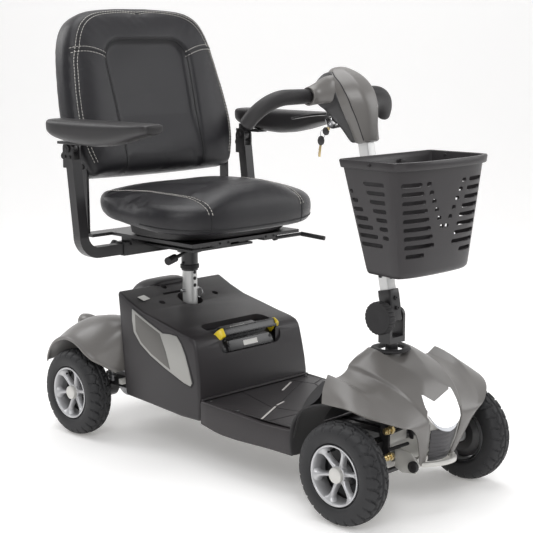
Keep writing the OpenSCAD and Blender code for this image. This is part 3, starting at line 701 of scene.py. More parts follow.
# ------------------------------------------------------------------ front hood
# Each row runs from the middle to the wheel-arch edge
HOOD = [
    [(0, -330, 292), (36, -331, 296), (66, -335, 291), (93, -340, 279), (96, -341, 271), (120, -344, 261),
    (145, -346, 262), (163, -350, 275), (188, -359, 250), (195, -364, 226)],
    [(0, -336, 299), (38, -340, 304), (66, -346, 296), (93, -352, 279), (96, -353, 270.5), (121, -358, 260),
    (144, -360, 261), (162, -365, 273), (190, -376, 246), (198, -382, 227)],
    [(0, -352, 304), (42, -362, 307), (67, -366, 297), (93, -371, 277.5), (96, -372, 269), (119, -378, 258),
    (141, -384, 257.5), (160, -390, 267), (188, -402, 244), (199, -408, 229)],
    [(0, -384, 293), (40, -388, 297), (62, -393, 288), (90, -400, 271.5), (93, -401, 263.5), (115, -406, 253),
    (137, -410, 252.5), (157, -414, 258), (184, -425, 240), (197, -432, 229)],
    [(0, -404, 286), (34, -406, 287), (56, -410, 279), (86, -420, 265), (89, -421, 257.5), (108, -427, 247),
    (130, -434, 246), (153, -436, 246), (178, -445, 232), (191, -452, 223)],
    [(0, -430, 276), (27, -432, 275), (48, -437, 267), (79, -446, 253.5), (82, -447, 246), (101, -452, 237),
    (124, -458, 233), (146, -459, 230), (167, -467, 221), (178, -472, 215)],
    [(0, -455, 263), (14, -457, 262), (40, -461, 252), (71, -470, 237.5), (74, -471, 231), (93, -473, 225),
    (117, -479, 216), (135, -479, 213), (150, -483, 209.5), (158, -487, 208)],
    [(0, -474, 244), (22, -476, 242), (40, -481, 238), (62, -488, 219.5), (65, -489, 214), (83, -490, 209),
    (108, -494, 203), (122, -494, 201), (133, -496, 200.5), (138, -499, 200)],
    [(0, -493, 219), (24, -493, 219), (42, -497, 214), (52, -503, 199), (55, -504, 196), (72, -504, 195),
    (92, -505, 193), (103, -506, 192), (111, -507, 191.5), (117, -508, 191)],
    [(0, -496, 212), (24, -496, 212), (44, -500, 206), (50, -509, 187), (53, -510, 184), (60, -510.5, 182.5),
    (68, -510.5, 182), (77, -510, 181.5), (86, -509, 181.5), (92, -508, 182)],
    [(0, -496, 210), (24, -496, 210), (44, -500, 204), (45.5, -504, 152), (48, -505, 151), (53, -505.5, 150),
    (58, -505.5, 150), (63, -505, 150), (69, -504, 150), (74, -502, 150)],
    [(0, -496, 208), (24, -496, 208), (44, -500, 202), (40, -494, 120), (42, -495, 119), (45.5, -495.5, 118),
    (49, -495.5, 118), (53, -495, 118), (57, -494, 118), (60, -493, 118)],
    [(0, -496, 206), (24, -496, 206), (44, -500, 200), (36.5, -487, 98), (38, -488, 98), (40.5, -488.5, 98),
    (43, -488.5, 98), (46, -488, 98), (49, -487, 98), (51, -486, 98)],
]
k = Kit()
rows, cols = len(HOOD), len(HOOD[0])
for s in (-1, 1):
    vs = [(s * x, y, z) for row in HOOD for x, y, z in row]
    fs = []
    for i in range(rows - 1):
        for j in range(cols - 1):
            stem_hole = i in (1, 2) and j == 0
            lamp_hole = i >= 8 and j <= 2
            if stem_hole or lamp_hole:
                continue
            q = (i * cols + j, i * cols + j + 1, (i + 1) * cols + j + 1, (i + 1) * cols + j)
            fs.append(q if s > 0 else q[::-1])
    k.add(vs, fs)
hood_me = bpy.data.meshes.new("hood")
hood_me.from_pydata([p * MM for p in k.v], [], k.f)
bm = bmesh.new()
bm.from_mesh(hood_me)
bmesh.ops.remove_doubles(bm, verts=bm.verts, dist=0.0004)
for v in [v for v in bm.verts if not v.link_faces]:
    bm.verts.remove(v)
bmesh.ops.recalc_face_normals(bm, faces=bm.faces)
crease = bm.edges.layers.float.new("crease_edge")
# column of the table: how sharp the line along it is
CREASES = {1: 0.75, 3: 0.95, 4: 0.95, 6: 0.9, 7: 0.8, 8: 0.3}
column = {tuple(round(q) for q in row[c]): c for c in CREASES for row in HOOD}
for e in bm.edges:
    ends = [column.get((round(abs(v.co.x) * 1000), round(v.co.y * 1000), round(v.co.z * 1000))) for v in e.verts]
    if ends[0] and ends[0] == ends[1]:
        on_nose = min(v.co.y for v in e.verts) < -0.445
        e[crease] = 0.25 if ends[0] == 1 and on_nose else CREASES[ends[0]]
    if e.is_boundary:
        e[crease] = max(e[crease], 0.8)
if sum(f.normal.z for f in bm.faces) < 0:
    bmesh.ops.reverse_faces(bm, faces=bm.faces)
bm.to_mesh(hood_me)
bm.free()
hood = link(bpy.data.objects.new("front_hood", hood_me))
hood.data.materials.append(M["grey"])
md = hood.modifiers.new("u", "SUBSURF")
md.levels = md.render_levels = 3
md = hood.modifiers.new("s", "SOLIDIFY")
md.thickness = 3.2 * MM
md.offset = -1
bake(hood)
shade(hood, 34)
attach(hood, "chassis")
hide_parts("front_shroud")

# inner edges of the nose beside the grille, and the bar under it
k = Kit()
for s in (-1, 1):
    for z0, z1 in ((184, 140), (140, 104)):
        ends = []
        for z in (z0, z1):
            x = lerp([(104, 36), (140, 42), (184, 47.5)], z)
            y = lerp([(104, -488), (140, -500), (184, -508)], z)
            ends.append([(s * (x - 2.4), y + 1, z), (s * (x + 0.6), y, z), (s * (x + 0.6), y + 13, z),
                    (s * (x - 2.4), y + 13, z)])
        k.loft(ends)
k.make("nose_edges", "silver", "chassis", "hood_grey", bevel=0.6)
k = Kit()
chin = curve([(-44, -487, 99), (-34, -502, 101), (-16, -515, 103), (0, -519, 104), (16, -515, 103),
        (34, -502, 101), (44, -487, 99)], 5)
k.sweep(chin, rounded(0, 0, 5.5, 4.5, 2.5, 3))
k.make("nose_bar", "bracket", "chassis", "bracket_silver", angle=45)

# lamp: cat-eared lens over a clear lower bezel, and the barred grille under it
k = Kit()


def nose_y(x, z, lift=0.0):
    """Where the lamp's face is at a height, bulging a little in the middle."""
    return -494 - 0.51 * (218 - z) - 3.2 * (1 - (x / 48) ** 2) - lift


top = curve([(0, 218.5, 0), (16, 219.5, 0), (28, 224, 0), (35, 229, 0), (41, 235, 0)], 3)
low = curve([(0, 172, 0), (14, 173, 0), (27, 176.5, 0), (38, 184.5, 0), (45.5, 199, 0)], 3)
rings = []
for t in (0, 0.04, 0.2, 0.4, 0.6, 0.8, 0.96, 1.0):
    half = []
    for i, (a, b) in enumerate(zip(top, low)):
        bow = 3.4 * math.sin(math.pi * t) * (i / (len(top) - 1)) ** 3
        x, z = a.x + (b.x - a.x) * t + bow, a.y + (b.y - a.y) * t
        half.append((x, nose_y(x, z, 1.4 if 0 < t < 1 and i < len(top) - 1 else -0.8), z))
    rings.append([(-x, y, z) for x, y, z in half[:0:-1]] + half)
k.loft([r + [(x, y + 9, z) for x, y, z in r[::-1]] for r in rings])
k.make("lamp_lens", "lens", "chassis", "lens", ["headlight"], angle=50)
k = Kit()
edge = [(-p.x, p.y) for p in low[:0:-1]] + [(p.x, p.y) for p in low]
k.loft([[(x * (1 - 0.02 * q), nose_y(x, z, -1.2 - 0.6 * q), z - 0.6 - q * (1.4 + 3.0 * (1 - abs(x) / 48)))
        for x, z in edge] for q in (0, 1, 2)], cap=False, close=False)
k.make("lamp_lower_bezel", "lens_clear", "chassis", "lens", solid=2.0)
k = Kit()
rings = []
for i in range(22):
    z = 169 - 66 * i / 21
    w = lerp([(103, 31), (140, 37), (169, 41)], z)
    y0 = lerp([(103, -500), (140, -509), (169, -515)], z)
    bump = 1.0 if i % 3 == 0 else 0.0
    rings.append([(w * math.sin(t) / math.sin(math.radians(60)), y0 + bump + 20 * (1 - math.cos(t)), z)
            for t in [math.radians(-60 + 12 * j) for j in range(11)]])
k.loft(rings, cap=False, close=False)
k.make("grille_insert", "grille", "chassis", "grille_dark", ["front_grille"], solid=3.0, angle=25)

# wheel-arch skins and the dark wall behind the hood
for s, tag in ((-1, "right"), (1, "left")):
    k = Kit()
    rings = []
    for i in range(19):
        a = -3 + 81 * i / 18
        c, sn = math.cos(math.radians(a)), math.sin(math.radians(a))
        r = lerp([(-3, 156), (20, 151), (45, 143), (62, 134), (78, 127)], a)
        xo = lerp([(-3, 168), (12, 178), (30, 188), (50, 194), (78, 194)], a)
        y, z = -AXLE_Y + r * c, WHEEL_R + r * sn
        rings.append([(s * x, y + (4 if x == xo else 0), z + (4 if x == xo else 0))
                for x in (92, 120, 150, xo - 4, xo)])
    k.loft(rings, cap=False, close=False)
    k.make("wheel_arch_" + tag, "black_matt", "chassis", "liner_black", ["arch_liners"], sub=1, solid=3, angle=60)
    k = Kit()
    rings = []
    for y, z, w, lift in ((-258, 146, 158, 0), (-262, 168, 156, 2), (-276, 206, 146, 6), (-300, 240, 120, 8),
            (-324, 262, 104, 6), (-338, 282, 66, 4)):
        rings.append([(s * w * t, y - 10 * t * t, z + lift * (1 - t)) for t in (0, 0.25, 0.5, 0.75, 1)])
    k.loft(rings, cap=False, close=False)
    k.make("footwell_wall_" + tag, "black_matt", "chassis", "liner_black", sub=1, solid=3, angle=60)
    k = Kit()
    a = [(s * 168, -268, 143), (s * 172, -282, 186), (s * 176, -305, 224), (s * 170, -330, 252),
            (s * 164, -350, 274)]
    b = [(s * 190, -276, 120), (s * 196, -300, 192), (s * 197, -322, 212), (s * 195, -344, 222),
            (s * 190, -362, 244)]
    k.loft([a, b], cap=False, close=False)
    k.make("arch_flap_" + tag, "black_matt", "chassis", "liner_black", sub=1, solid=3, angle=60)
k = Kit()
k.turn([(38, 0), (40, 2), (39, 5), (33, 6.5), (26, 5), (24, 0)], (0, -368, 298), "Z", 40, cap=False)
k.make("stem_gaiter", "black_matt", "chassis", "hood_grey", angle=60)


# ------------------------------------------------------------------ tiller
TILLER = at(0, TILLER_Y, TILLER_Z, (-TILLER_LEAN, "X"))


def tp(x, v, w):
    """A point in the tiller's frame, as a row point in millimetres."""
    return TILLER @ Vector((x, v, w))


k = Kit()
k.loft([[(a, b, z) for a, b in rounded(0, 0, 12, 12, 3.0)] for z in (44, 344)], m=TILLER)
k.make("tiller_tube", "shaft", "tiller", "shaft_silver", ["tiller_shaft"], angle=40)
k = Kit()
k.loft([[(a, b, z) for a, b in rounded(0, 0, hx, hy, 4)]
        for hx, hy, z in ((12.6, 10, -13), (15.6, 13.5, -10), (15.6, 15, 20), (15.6, 16, 40),
        (15.2, 15.6, 52))], m=TILLER)
k.make("tiller_foot", "black", "tiller", "stem_black", bevel=1.2, seg=3)
k = Kit()
for w in (76, 95):
    for v, o in ((-12, -1), (12, 1)):
        k.bolt(tp(0, v, w), TILLER.to_3x3() @ Vector((0, o, 0)), 4.6, 4)
    k.bolt(tp(-12, 3, w + 4), (-1, 0, 0), 3.6, 3)
for w in (14, 34):
    k.bolt(tp(0, -15, w), TILLER.to_3x3() @ Vector((0, -1, 0)), 4.2, 4)
k.rod(tp(-41, 0, 0), tp(31, 0, 0), 5, 24, chamfer=0.8)
k.hexnut(tp(23.4, 0, 0), (1, 0, 0), 8.5, 6)
k.make("tiller_bolts", "black", "tiller", "stem_black")
k = Kit()
k.box((-36, -20, 120), (36, -12, 136), TILLER)
k.box((-36, -26, 214), (36, -12, 230), TILLER)
k.box((-36, -32, 270), (36, -12, 286), TILLER)
k.make("basket_brackets", "black", "tiller", "stem_black", bevel=1.5, seg=3)

# basket
def plan(wb, wf, back, front, bow):
    """The basket's outline from above: straight sides that spread from wb to wf, and a bowed front."""
    side = [Vector((-wb, back)).lerp(Vector((-wf, front)), t) for t in (0.04, 0.2, 0.4, 0.6, 0.78)]
    pts = [(-wb + 6, back)] + [tuple(p) for p in side]
    n = 16
    for i in range(n + 1):
        a = -90 + 180 * i / n
        x = wf * math.copysign(abs(math.sin(math.radians(a))) ** 0.8, a)
        y = front - bow * abs(math.cos(math.radians(a)))
        pts.append((x, y + 6 if i in (0, n) else y))
    return pts + [(-x, y) for x, y in pts[5::-1]]


def basket_ring(z, t=0.0, grow=0.0):
    """The basket at a height, t inside its outer face and grown by grow."""
    wb = lerp([(BASKET_LOW, 93), (BASKET_TOP, 134)], z) + grow - t
    wf = lerp([(BASKET_LOW, 104), (BASKET_TOP, 138)], z) + grow - t
    back = lerp([(BASKET_LOW, -384), (BASKET_TOP, -352)], z) + grow * 0.6 - t
    front = lerp([(BASKET_LOW, -468), (BASKET_TOP, -476)], z) + t - grow
    bow = lerp([(BASKET_LOW, 20), (BASKET_TOP, 28)], z) - t * 0.5 + grow * 0.5
    return [(x, y, z) for x, y in plan(wb, wf, back, front, bow)]


k = Kit()
rings = [basket_ring(463.5, 0, -8), basket_ring(465, 0, -3), basket_ring(469, 0, -0.6), basket_ring(476)]
rings += [basket_ring(z) for z in (510, 560, 610, 655, 667)]
rings += [basket_ring(668, 0, 4.4), basket_ring(670, 0, 5.0), basket_ring(681, 0, 5.0),
        basket_ring(683, 0, 4.0), basket_ring(683.4, 0, 1.0),
          basket_ring(682, 0, -1.8), basket_ring(672, 0, -3.0), basket_ring(610, 3), basket_ring(540, 3),
          basket_ring(474, 3, -2), basket_ring(468.5, 3, -8)]
k.loft(rings)
basket = k.make("basket_shell", "charcoal", "tiller", "basket_plastic", ["basket"], angle=50)
front_slots, vee_slots, side_slots = Kit(), Kit(), Kit()


def slot_bar(k, axis, a0, a1, z, b0, b1):
    """A rounded horizontal slot through a basket wall, from a0 to a1 along it."""
    half = abs(a0 - a1) / 2
    sec = rounded((a0 + a1) / 2, z, half, 4.1, min(3.4, half * 0.8), 3)
    k.loft([[(a, b, zz) if axis == "X" else (b, a, zz) for a, zz in sec] for b in (b0, b1)])


for i in range(8):
    z = 524 + 16.6 * i
    q = i / 7
    for s in (-1, 1):
        slot_bar(front_slots, "X", s * (26 + 44 * q), s * (100 + 18 * q), z, -540, -462)
        if i >= 2:
            f = (i - 2) / 5
            slot_bar(vee_slots, "X", s * (2 + 44 * f), s * (13 + 46 * f), z, -540, -462)
        rear = -392 + (z - BASKET_LOW) * 0.147
        if i < 7:
            slot_bar(side_slots, "Y", rear, rear - 8 - 8 * (6 - i), z, s * 80, s * 190)
        if i > 0:
            slot_bar(side_slots, "Y", -457, -447 + 6 * i, z, s * 80, s * 190)
for s in (-1, 1):
    slot_bar(front_slots, "X", s * 52, s * 96, 507, -540, -462)
for k in (front_slots, vee_slots, side_slots):
    cut(basket, k)
shade(basket, 40)
k = Kit()
for x in (-58, 0, 58):
    k.box((x - 5, -470, 469), (x + 5, -392, 472))
k.box((-86, -432, 469), (86, -426, 472.4))
for x in (-40, 40):
    k.loft([[(x + a, -358 - 4 * i, z) for a, z in ((-9, 640), (9, 640), (9, 672), (-9, 672))] for i in (0, 1)])
for s in (-1, 1):
    k.bolt((s * 120, -399.8, 676), (s, 0.1, 0), 3.4, 2.2)
    k.bolt((s * 141.5, -430, 676), (s, 0, 0), 3.2, 2.0)
k.make("basket_ribs", "charcoal", "tiller", "basket_plastic", bevel=0.8)

# head: central ridge shell, arm shells out to the grips, black console behind and below
HEAD = [(341, 20, -20.5, 13), (346, 22.5, -22, 14), (366, 25.5, -25, 18), (392, 31, -29, 26),
        (412, 36, -31, 36), (430, 39, -29, 46),
        (448, 40, -23, 52), (464, 38.5, -13, 55), (478, 35, 0, 56), (489, 29, 15, 56), (497, 21, 28, 54),
        (501, 10, 38, 50)]
HEAD_EDGE = [(341, -16), (354, -15), (393, -12), (430, -7), (448, 0), (460, 5), (482, 26), (501, 43)]


def head_ring(w, hw, v0, v1):
    """A ring round the head's ridge: a flat front, a bevel back to the side edge, and the flank behind."""
    vm = max(lerp(HEAD_EDGE, w), v0 + 2)
    half = [(0, v0 - 1.0), (0.30, v0 - 0.6), (0.46, v0 + 0.02 * (vm - v0)), (0.52, v0 + 0.07 * (vm - v0)),
            (0.95, vm - 1.6), (1.0, vm + 0.4),
            (0.99, vm + 2.4), (0.95, vm + 0.6 * (v1 - vm)), (0.82, v1 - 1), (0.6, v1), (0, v1)]
    return [tp(x * hw, v, w) for x, v in half] + [tp(-x * hw, v, w) for x, v in half[-2:0:-1]]


k = Kit()
k.loft([head_ring(*r) for r in HEAD])
k.make("head_ridge", "grey", "tiller", "head_grey", ["tiller_head"], sub=1, angle=24)
# a black cord along each side of the ridge: painted shade in the groove there
k = Kit()
for s in (-1, 1):
    path = [tp(s * (hw + 0.1), max(lerp(HEAD_EDGE, w), v0 + 2) + 1.2, w) for w, hw, v0, v1 in HEAD[1:-2]]
    k.sweep(curve(path, 4), circle(1.0, 8))
k.make("head_ridge_groove_shade", "black_matt", "tiller", "head_grey", angle=60)
k = Kit()
for s in (-1, 1):
    rings = []
    for x, vc, wc, rv, rw, p in ((28, 38, 456, 20, 31, 2.6), (38, 45, 457, 21, 27, 2.6),
            (45, 56, 455, 22.5, 22.8, 2.4), (52, 66, 452.5, 21, 20.6, 2.2),
                                 (58, 72, 451, 19.6, 19.4, 2.0), (63, 74, 450, 19, 19, 2.0),
                                 (66, 74, 450, 18.6, 18.6, 2.0)):
        ring = []
        for i in range(26):
            t = 2 * math.pi * i / 26
            c, sn = math.cos(t), math.sin(t)
            ring.append(tp(s * x, vc + rv * math.copysign(abs(c) ** (2 / p), c),
                    wc + rw * math.copysign(abs(sn) ** (2 / p), sn)))
        rings.append(ring)
    for x, r in ((66, 15.2), (60, 15.0)):
        rings.append([tp(s * x, BAR_V + r * math.cos(t), BAR_W + r * math.sin(t)) for t in angles(26)])
    k.loft(rings)
k.make("head_arms", "grey", "tiller", "head_grey", sub=1, angle=50)
k = Kit()
rings = []
for w, hw, v0, v1 in ((345, 15, 10, 27), (352, 19, 8, 31), (376, 24, 10, 40), (400, 31, 14, 54),
        (414, 36, 18, 63), (422, 38, 19, 67), (434, 40, 20, 84),
                      (450, 40, 22, 91), (468, 38, 24, 90), (480, 35, 28, 80), (489, 31, 32, 68),
                      (494, 24, 36, 62)):
    rings.append([tp(a, b, w) for a, b in rounded(0, (v0 + v1) / 2, hw, (v1 - v0) / 2, min(9, (v1 - v0) / 2.2), 4)])
k.loft(rings)
k.make("console_shell", "black", "tiller", "console_black", ["tiller_console"], sub=1, angle=50)
k = Kit()
q = TILLER @ at(0, 90.4, 452, (-90, "X"))
k.loft([[(a, b, z) for a, b in rounded(0, 0, 27, 12, 4)] for z in (-1, 0.9)], m=q)
k.make("console_bezel", "charcoal", "tiller", "console_black", bevel=0.4)
k = Kit()
k.loft([[(a, b, z) for a, b in rounded(-6, 3, 17, 5, 2)] for z in (0.9, 1.2)], m=q)
k.make("console_gauge", "label", "tiller", "console_black")
k = Kit()
for i, x in enumerate((12, 19)):
    k.turn([(2.6, 0), (2.6, 2.4), (2.0, 3), (0.2, 3.1)], (x, -4, 0.9), "Z", 16, m=q)
k.make("console_buttons", "yellow", "tiller", "console_black")

KEYF = TILLER @ at(-24, 54, 394, (60, "X"))
k = Kit()
k.turn([(8, -12), (8, -3), (9.4, -3), (9.4, 6)], (0, 0, 0), "Z", 28, m=KEYF)
plate = [(-20, -8), (-8, -14), (12, -12), (20, -3), (14, 9), (-14, 12)]
k.loft([[(x, y, z) for x, y in plate] for z in (-5, -3)], m=KEYF)
k.make("key_switch", "steel", "tiller", "console_black", bevel=0.5)
k = Kit()
for x, y in ((-14, -5), (14, -4), (-9, 8)):
    k.turn([(2.6, -5), (2.6, -6.4), (1.6, -7), (0.2, -7)], (x, y, 0), "Z", 14, m=KEYF)
k.make("key_plate_screws", "black", "tiller", "console_black")
k = Kit()
k.rod(KEYF @ Vector((0, 0, -13)), KEYF @ Vector((0, 0, -20)), 2.5, 16)
k.loft([[(a, b, z) for a, b in rounded(0, 0, 1.1, 4.2, 0.8, 3)] for z in (-18, -24)], m=KEYF)
k.make("key_shank", "brass", "key", "key_metal", ["key"], bevel=0.2)
k = Kit()
k.loft([[(1.9 * c, r * a, -29 + r * b * 0.95) for a, b in circle(1, 24)]
        for c, r in ((-1, 7), (-0.6, 8.4), (0.6, 8.4), (1, 7))], m=KEYF)
fob = KEYF @ Vector((0, 0, -41))
down = at(*fob, (8, "X"))
k.loft([[(1.9 * c - 3, r * a, -11 + r * b * 1.15) for a, b in circle(1, 24)]
        for c, r in ((-1, 7), (-0.6, 8.4), (0.6, 8.4), (1, 7))], m=down)
k.make("key_heads", "black", "key", "key_metal", angle=50)
k = Kit()
k.box((-3.8, -2.6, -44), (-2.2, 2.4, -19), down)
for i in range(5):
    k.box((-3.8, 2.2, -42 + 4 * i), (-2.2, 3.2 + (i % 2), -40 + 4 * i), down)
k.make("spare_key_blade", "brass", "key", "key_metal", bevel=0.2)
k = Kit()
k.sweep([fob + Vector((0, 6.0 * math.cos(t), 2 + 8.0 * math.sin(t))) for t in angles(24)], circle(0.8, 8),
        up=(1, 0, 0), closed=True)
k.make("key_ring", "steel", "key", "key_metal", angle=60)

# grips: foam sleeves that bend down and back, with a rounded end
BAR = tp(0, BAR_V, BAR_W)
DROP = Vector((0, math.cos(math.radians(56)), -math.sin(math.radians(56))))


def grip_point(s, a):
    """A point on a grip's middle line: a is degrees round the bend, or less than nothing on the straight part."""
    if a < 0:
        return BAR + Vector((s * (125 + a), 0, 0))
    t = math.radians(a)
    return BAR + Vector((s * (125 + 78 * math.sin(t)), 0, 0)) + DROP * (78 * (1 - math.cos(t)))


for s, tag in ((-1, "right"), (1, "left")):
    k = Kit()
    stops = [-62, -50, -36, -20, -8] + [2 + 5.4 * i for i in range(15)]
    path = [grip_point(s, a) for a in stops]
    last = (path[-1] - path[-2]).normalized()
    path += [path[-1] + last * 2.6, path[-1] + last * 3.6]
    n = len(path)

    def grip_section(u, n=n):
        """The sleeve's section: a little fuller in the middle, rounded off at its end."""
        i = round(u * (n - 1))
        r = 14.0 + 1.3 * math.sin(math.pi * min(1, i / (n - 3)))
        if i == 0:
            r = 13.4
        if i == n - 2:
            r = 11.2
        if i == n - 1:
            r = 4.0
        return [(r * a, r * b * 1.04) for a, b in circle(1, 28)]

    k.sweep(path, grip_section, up=(0, 0, 1))
    k.make("grip_" + tag, "grip", "tiller", "grip_foam", ["handlebar"] if s < 0 else [], sub=1, angle=60)
k = Kit().rod(BAR + Vector((-64, 0, 0)), BAR + Vector((64, 0, 0)), 10.5, 24)
k.make("handlebar_tube", "black", "tiller", "grip_foam")

# speed paddles, dial and horn
k = Kit()
for s in (-1, 1):
    pts = [(20, 78, 413), (40, 79, 413.5), (64, 79, 413), (88, 78.6, 411.5), (108, 78, 410), (114, 78, 409.5)]
    wid = [5, 5, 6, 8.5, 8, 5]
    rings = []
    for (x, v, w), b in zip(pts, wid):
        rings.append([tp(s * x, v + a, w + c) for a, c in rounded(0, 0, b * 0.8, 2.2, 1.6, 3)])
    k.loft(rings)
k.turn([(9.5, -5), (10, -4), (10, 6), (9, 7.5), (0.2, 7.5)], (0, 78, 413), "Z", 28, m=TILLER)
k.make("speed_paddles", "black", "wigwag", "lever_black", ["wigwag_lever"], bevel=0.5, seg=2)
k = Kit()
rings = []
for r, z in [(12, 0.3), (12, 1.2), (10.6, 2), (10.2, 6.6), (9.6, 7.6), (0.3, 8)]:
    fluted = [(t, r + (0.5 * math.cos(18 * t) if 10 < r < 11 else 0)) for t in angles(108)]
    rings.append([(q * math.cos(t), q * math.sin(t), 470.5 + z) for t, q in fluted])
k.loft(rings, m=TILLER @ Matrix.Translation((DIAL_X, DIAL_V, 0)))
k.make("speed_dial_knob", "black", "speed_dial", "dial_black", ["speed_dial"], angle=30)
k = Kit().box((-0.7, -9, 8), (0.7, -2, 8.5), TILLER @ Matrix.Translation((DIAL_X, DIAL_V, 470.5)))
k.make("dial_pointer", "label", "speed_dial", "dial_black")
k = Kit().turn([(6, 0), (6, 7.5), (5.2, 8.8), (0.3, 9.2)], (HORN_X, DIAL_V, 466), "Z", 24, m=TILLER)
k.make("horn_cap", "red", "horn_button", "button_red", ["horn_button"])

# fluted tilt knob
k = Kit()
rings = []
for r, d in [(6, -44.2), (9, -45.4), (24, -45.4), (27, -44.4), (30, -45), (32.4, -43.5), (33, -41), (33, -30),
        (32, -27.4), (15, -27),
             (12, -26), (12, -23.4)]:
    fluted = [(t, r - (1.7 * max(0, math.cos(24 * t)) ** 2 if r > 31 else 0)) for t in angles(144)]
    rings.append([(d, TILLER_Y + q * math.cos(t), TILLER_Z + q * math.sin(t)) for t, q in fluted])
k.loft(rings)
k.make("tilt_knob_wheel", "black_matt", "tilt_knob", "knob_black", ["tilt_knob"], angle=30)


# ------------------------------------------------------------------ seat
BACK = at(0, BACK_Y, BACK_Z, (-BACK_LEAN, "X"))


def oval(a, b, n, t):
    """A point of a squared-off oval: n is 2 for an ellipse and more for squarer."""
    c, s = math.cos(t), math.sin(t)
    return a * math.copysign(abs(c) ** (2 / n), c), b * math.copysign(abs(s) ** (2 / n), s)


def stuff(ob, pinned, pressure, frames, keep=0.5):
    """Inflates a cover by a cloth simulation, keeping a share of its cut shape.

    Pinned points stay on their board.
    """
    vg = ob.vertex_groups.new(name="pin")
    for v in ob.data.vertices:
        vg.add([v.index], pinned(v.co), "REPLACE")
    md = ob.modifiers.new("cloth", "CLOTH")
    st = md.settings
    st.quality = 6
    st.mass = 0.25
    st.vertex_group_mass = "pin"
    st.tension_stiffness = st.compression_stiffness = 22
    st.shear_stiffness = 12
    st.bending_stiffness = 4.0
    st.use_pressure = True
    st.uniform_pressure_force = pressure
    st.effector_weights.gravity = 0
    md.collision_settings.use_collision = False
    md.point_cache.frame_start = 1
    md.point_cache.frame_end = frames
    sc = bpy.context.scene
    sc.frame_start, sc.frame_end = 1, frames
    for f in range(1, frames + 1):
        sc.frame_set(f)
    bpy.context.view_layer.update()
    dg = bpy.context.evaluated_depsgraph_get()
    me = bpy.data.meshes.new_from_object(ob.evaluated_get(dg))
    for v, cut_shape in zip(me.vertices, ob.data.vertices):
        v.co = v.co.lerp(cut_shape.co, keep)
    ob.modifiers.clear()
    ob.vertex_groups.clear()
    ob.data = me
    sc.frame_set(1)
    return ob


def remeshed(k, name, size):
    """A closed form as an even mesh of small faces, ready to be stuffed."""
    me = bpy.data.meshes.new(name)
    me.from_pydata([p * MM for p in k.v], [], k.f)
    bm = bmesh.new()
    bm.from_mesh(me)
    bmesh.ops.remove_doubles(bm, verts=bm.verts, dist=0.00001)
    bmesh.ops.recalc_face_normals(bm, faces=bm.faces)
    bm.to_mesh(me)
    bm.free()
    ob = link(bpy.data.objects.new(name, me))
    md = ob.modifiers.new("r", "REMESH")
    md.mode = "VOXEL"
    md.voxel_size = size * MM
    bake(ob)
    md = ob.modifiers.new("sm", "SMOOTH")
    md.factor = 0.5
    md.iterations = 4
    bake(ob)
    ob.data.materials.clear()
    ob.data.materials.append(M["leather"])
    return ob


def deform(ob, f):
    """Moves every point of a piece by f, which works in millimetres."""
    for v in ob.data.vertices:
        v.co = Vector(f(v.co * 1000)) * MM
    ob.data.update()


def bell(x, w):
    """1 where x is 0, fading over a width of w."""
    return math.exp(-(x / w) ** 2)


# how far from the middle the seam between top panel and bolster runs
SEAT_SEAM = [(-10, 134), (40, 139), (100, 150), (180, 165), (250, 177), (335, 188)]


def seat_top_at(x, y):
    """Height of the seat's surface, in millimetres: a crown in the middle, lower at the side seams."""
    crown = lerp([(-12, 574), (8, 590), (40, 601), (90, 603), (160, 600), (240, 594), (300, 586), (335, 570)], y)
    side = lerp([(-12, 562), (20, 572), (150, 578), (300, 582), (335, 568)], y)
    seam = lerp(SEAT_SEAM, y)
    z = crown + (side - crown) * min(1, abs(x) / seam) ** 2.4
    return z - 0.10 * max(0, abs(x) - seam)


def seat_low_at(y):
    """Height of the cushion's lower edge: it is a wedge, thin behind."""
    return lerp([(-10, 499), (20, 502), (130, 513), (240, 525), (335, 548)], y)


def seat_outline(grow, n=72):
    """The seat from above, grown by grow: square behind and rounder in front."""
    for i in range(n):
        t = 2 * math.pi * i / n
        x, y = oval(226 + grow, 166 + grow * (166 / 226 if grow < -20 else 1), 3.6 if t <= math.pi else 3.2, t)
        yield x, y + 164


# seat cushion: rings of the outline, from the board up over the crown
k = Kit()
rings = []
for grow, up_ in ((-20, 0), (-8, 0.01), (-2, 0.06), (1, 0.2), (3, 0.42), (2, 0.66), (-3, 0.82), (-13, 0.93),
        (-34, 0.98), (-70, 1.0), (-120, 1.0)):
    ring = []
    for x, y in seat_outline(grow):
        low = seat_low_at(y)
        ring.append((x, y, low + (seat_top_at(x, y) - low) * up_))
    rings.append(ring)
k.loft(rings)
seat = remeshed(k, "seat_cushion_cover", 5.0)


def seat_pin(co):
    """Holds the lower edge of the seat cover on its board."""
    return 1.0 if co.z * 1000 < seat_low_at(co.y * 1000) + 6 else 0.0


stuff(seat, seat_pin, 3.6, 14)


def seat_shape(p):
    """The centre panel sits slightly low, between two seams."""
    x, y, z = p
    low = seat_low_at(y) + 10
    if z > low:
        edge = lerp(SEAT_SEAM, y)
        panel = 1 / (1 + math.exp(max(-40, min(40, (abs(x) - edge) / 2.2))))
        up_ = max(0.0, min(1.0, (z - low) / 36))
        z -= 3.0 * panel * up_ * (0.25 + 0.75 * max(0, min(1, (y - 30) / 50)))
        z -= 3.0 * bell(x, 80) * bell(y - 220, 110)
        if y < 40:
            y += 1.8 * panel * up_
        z -= 2.0 * bell(abs(x) - edge, 2.6) * up_
    return (x, y, z)


def fit_box(ob, lo, hi):
    """Scales a simulated cover back to the cushion's real size."""
    co = [v.co for v in ob.data.vertices]
    a = [min(c[i] for c in co) for i in range(3)]
    b = [max(c[i] for c in co) for i in range(3)]
    for v in ob.data.vertices:
        for i in range(3):
            if lo[i] is not None and hi[i] is not None:
                v.co[i] = lo[i] * MM + (v.co[i] - a[i]) / (b[i] - a[i]) * (hi[i] - lo[i]) * MM
    ob.data.update()


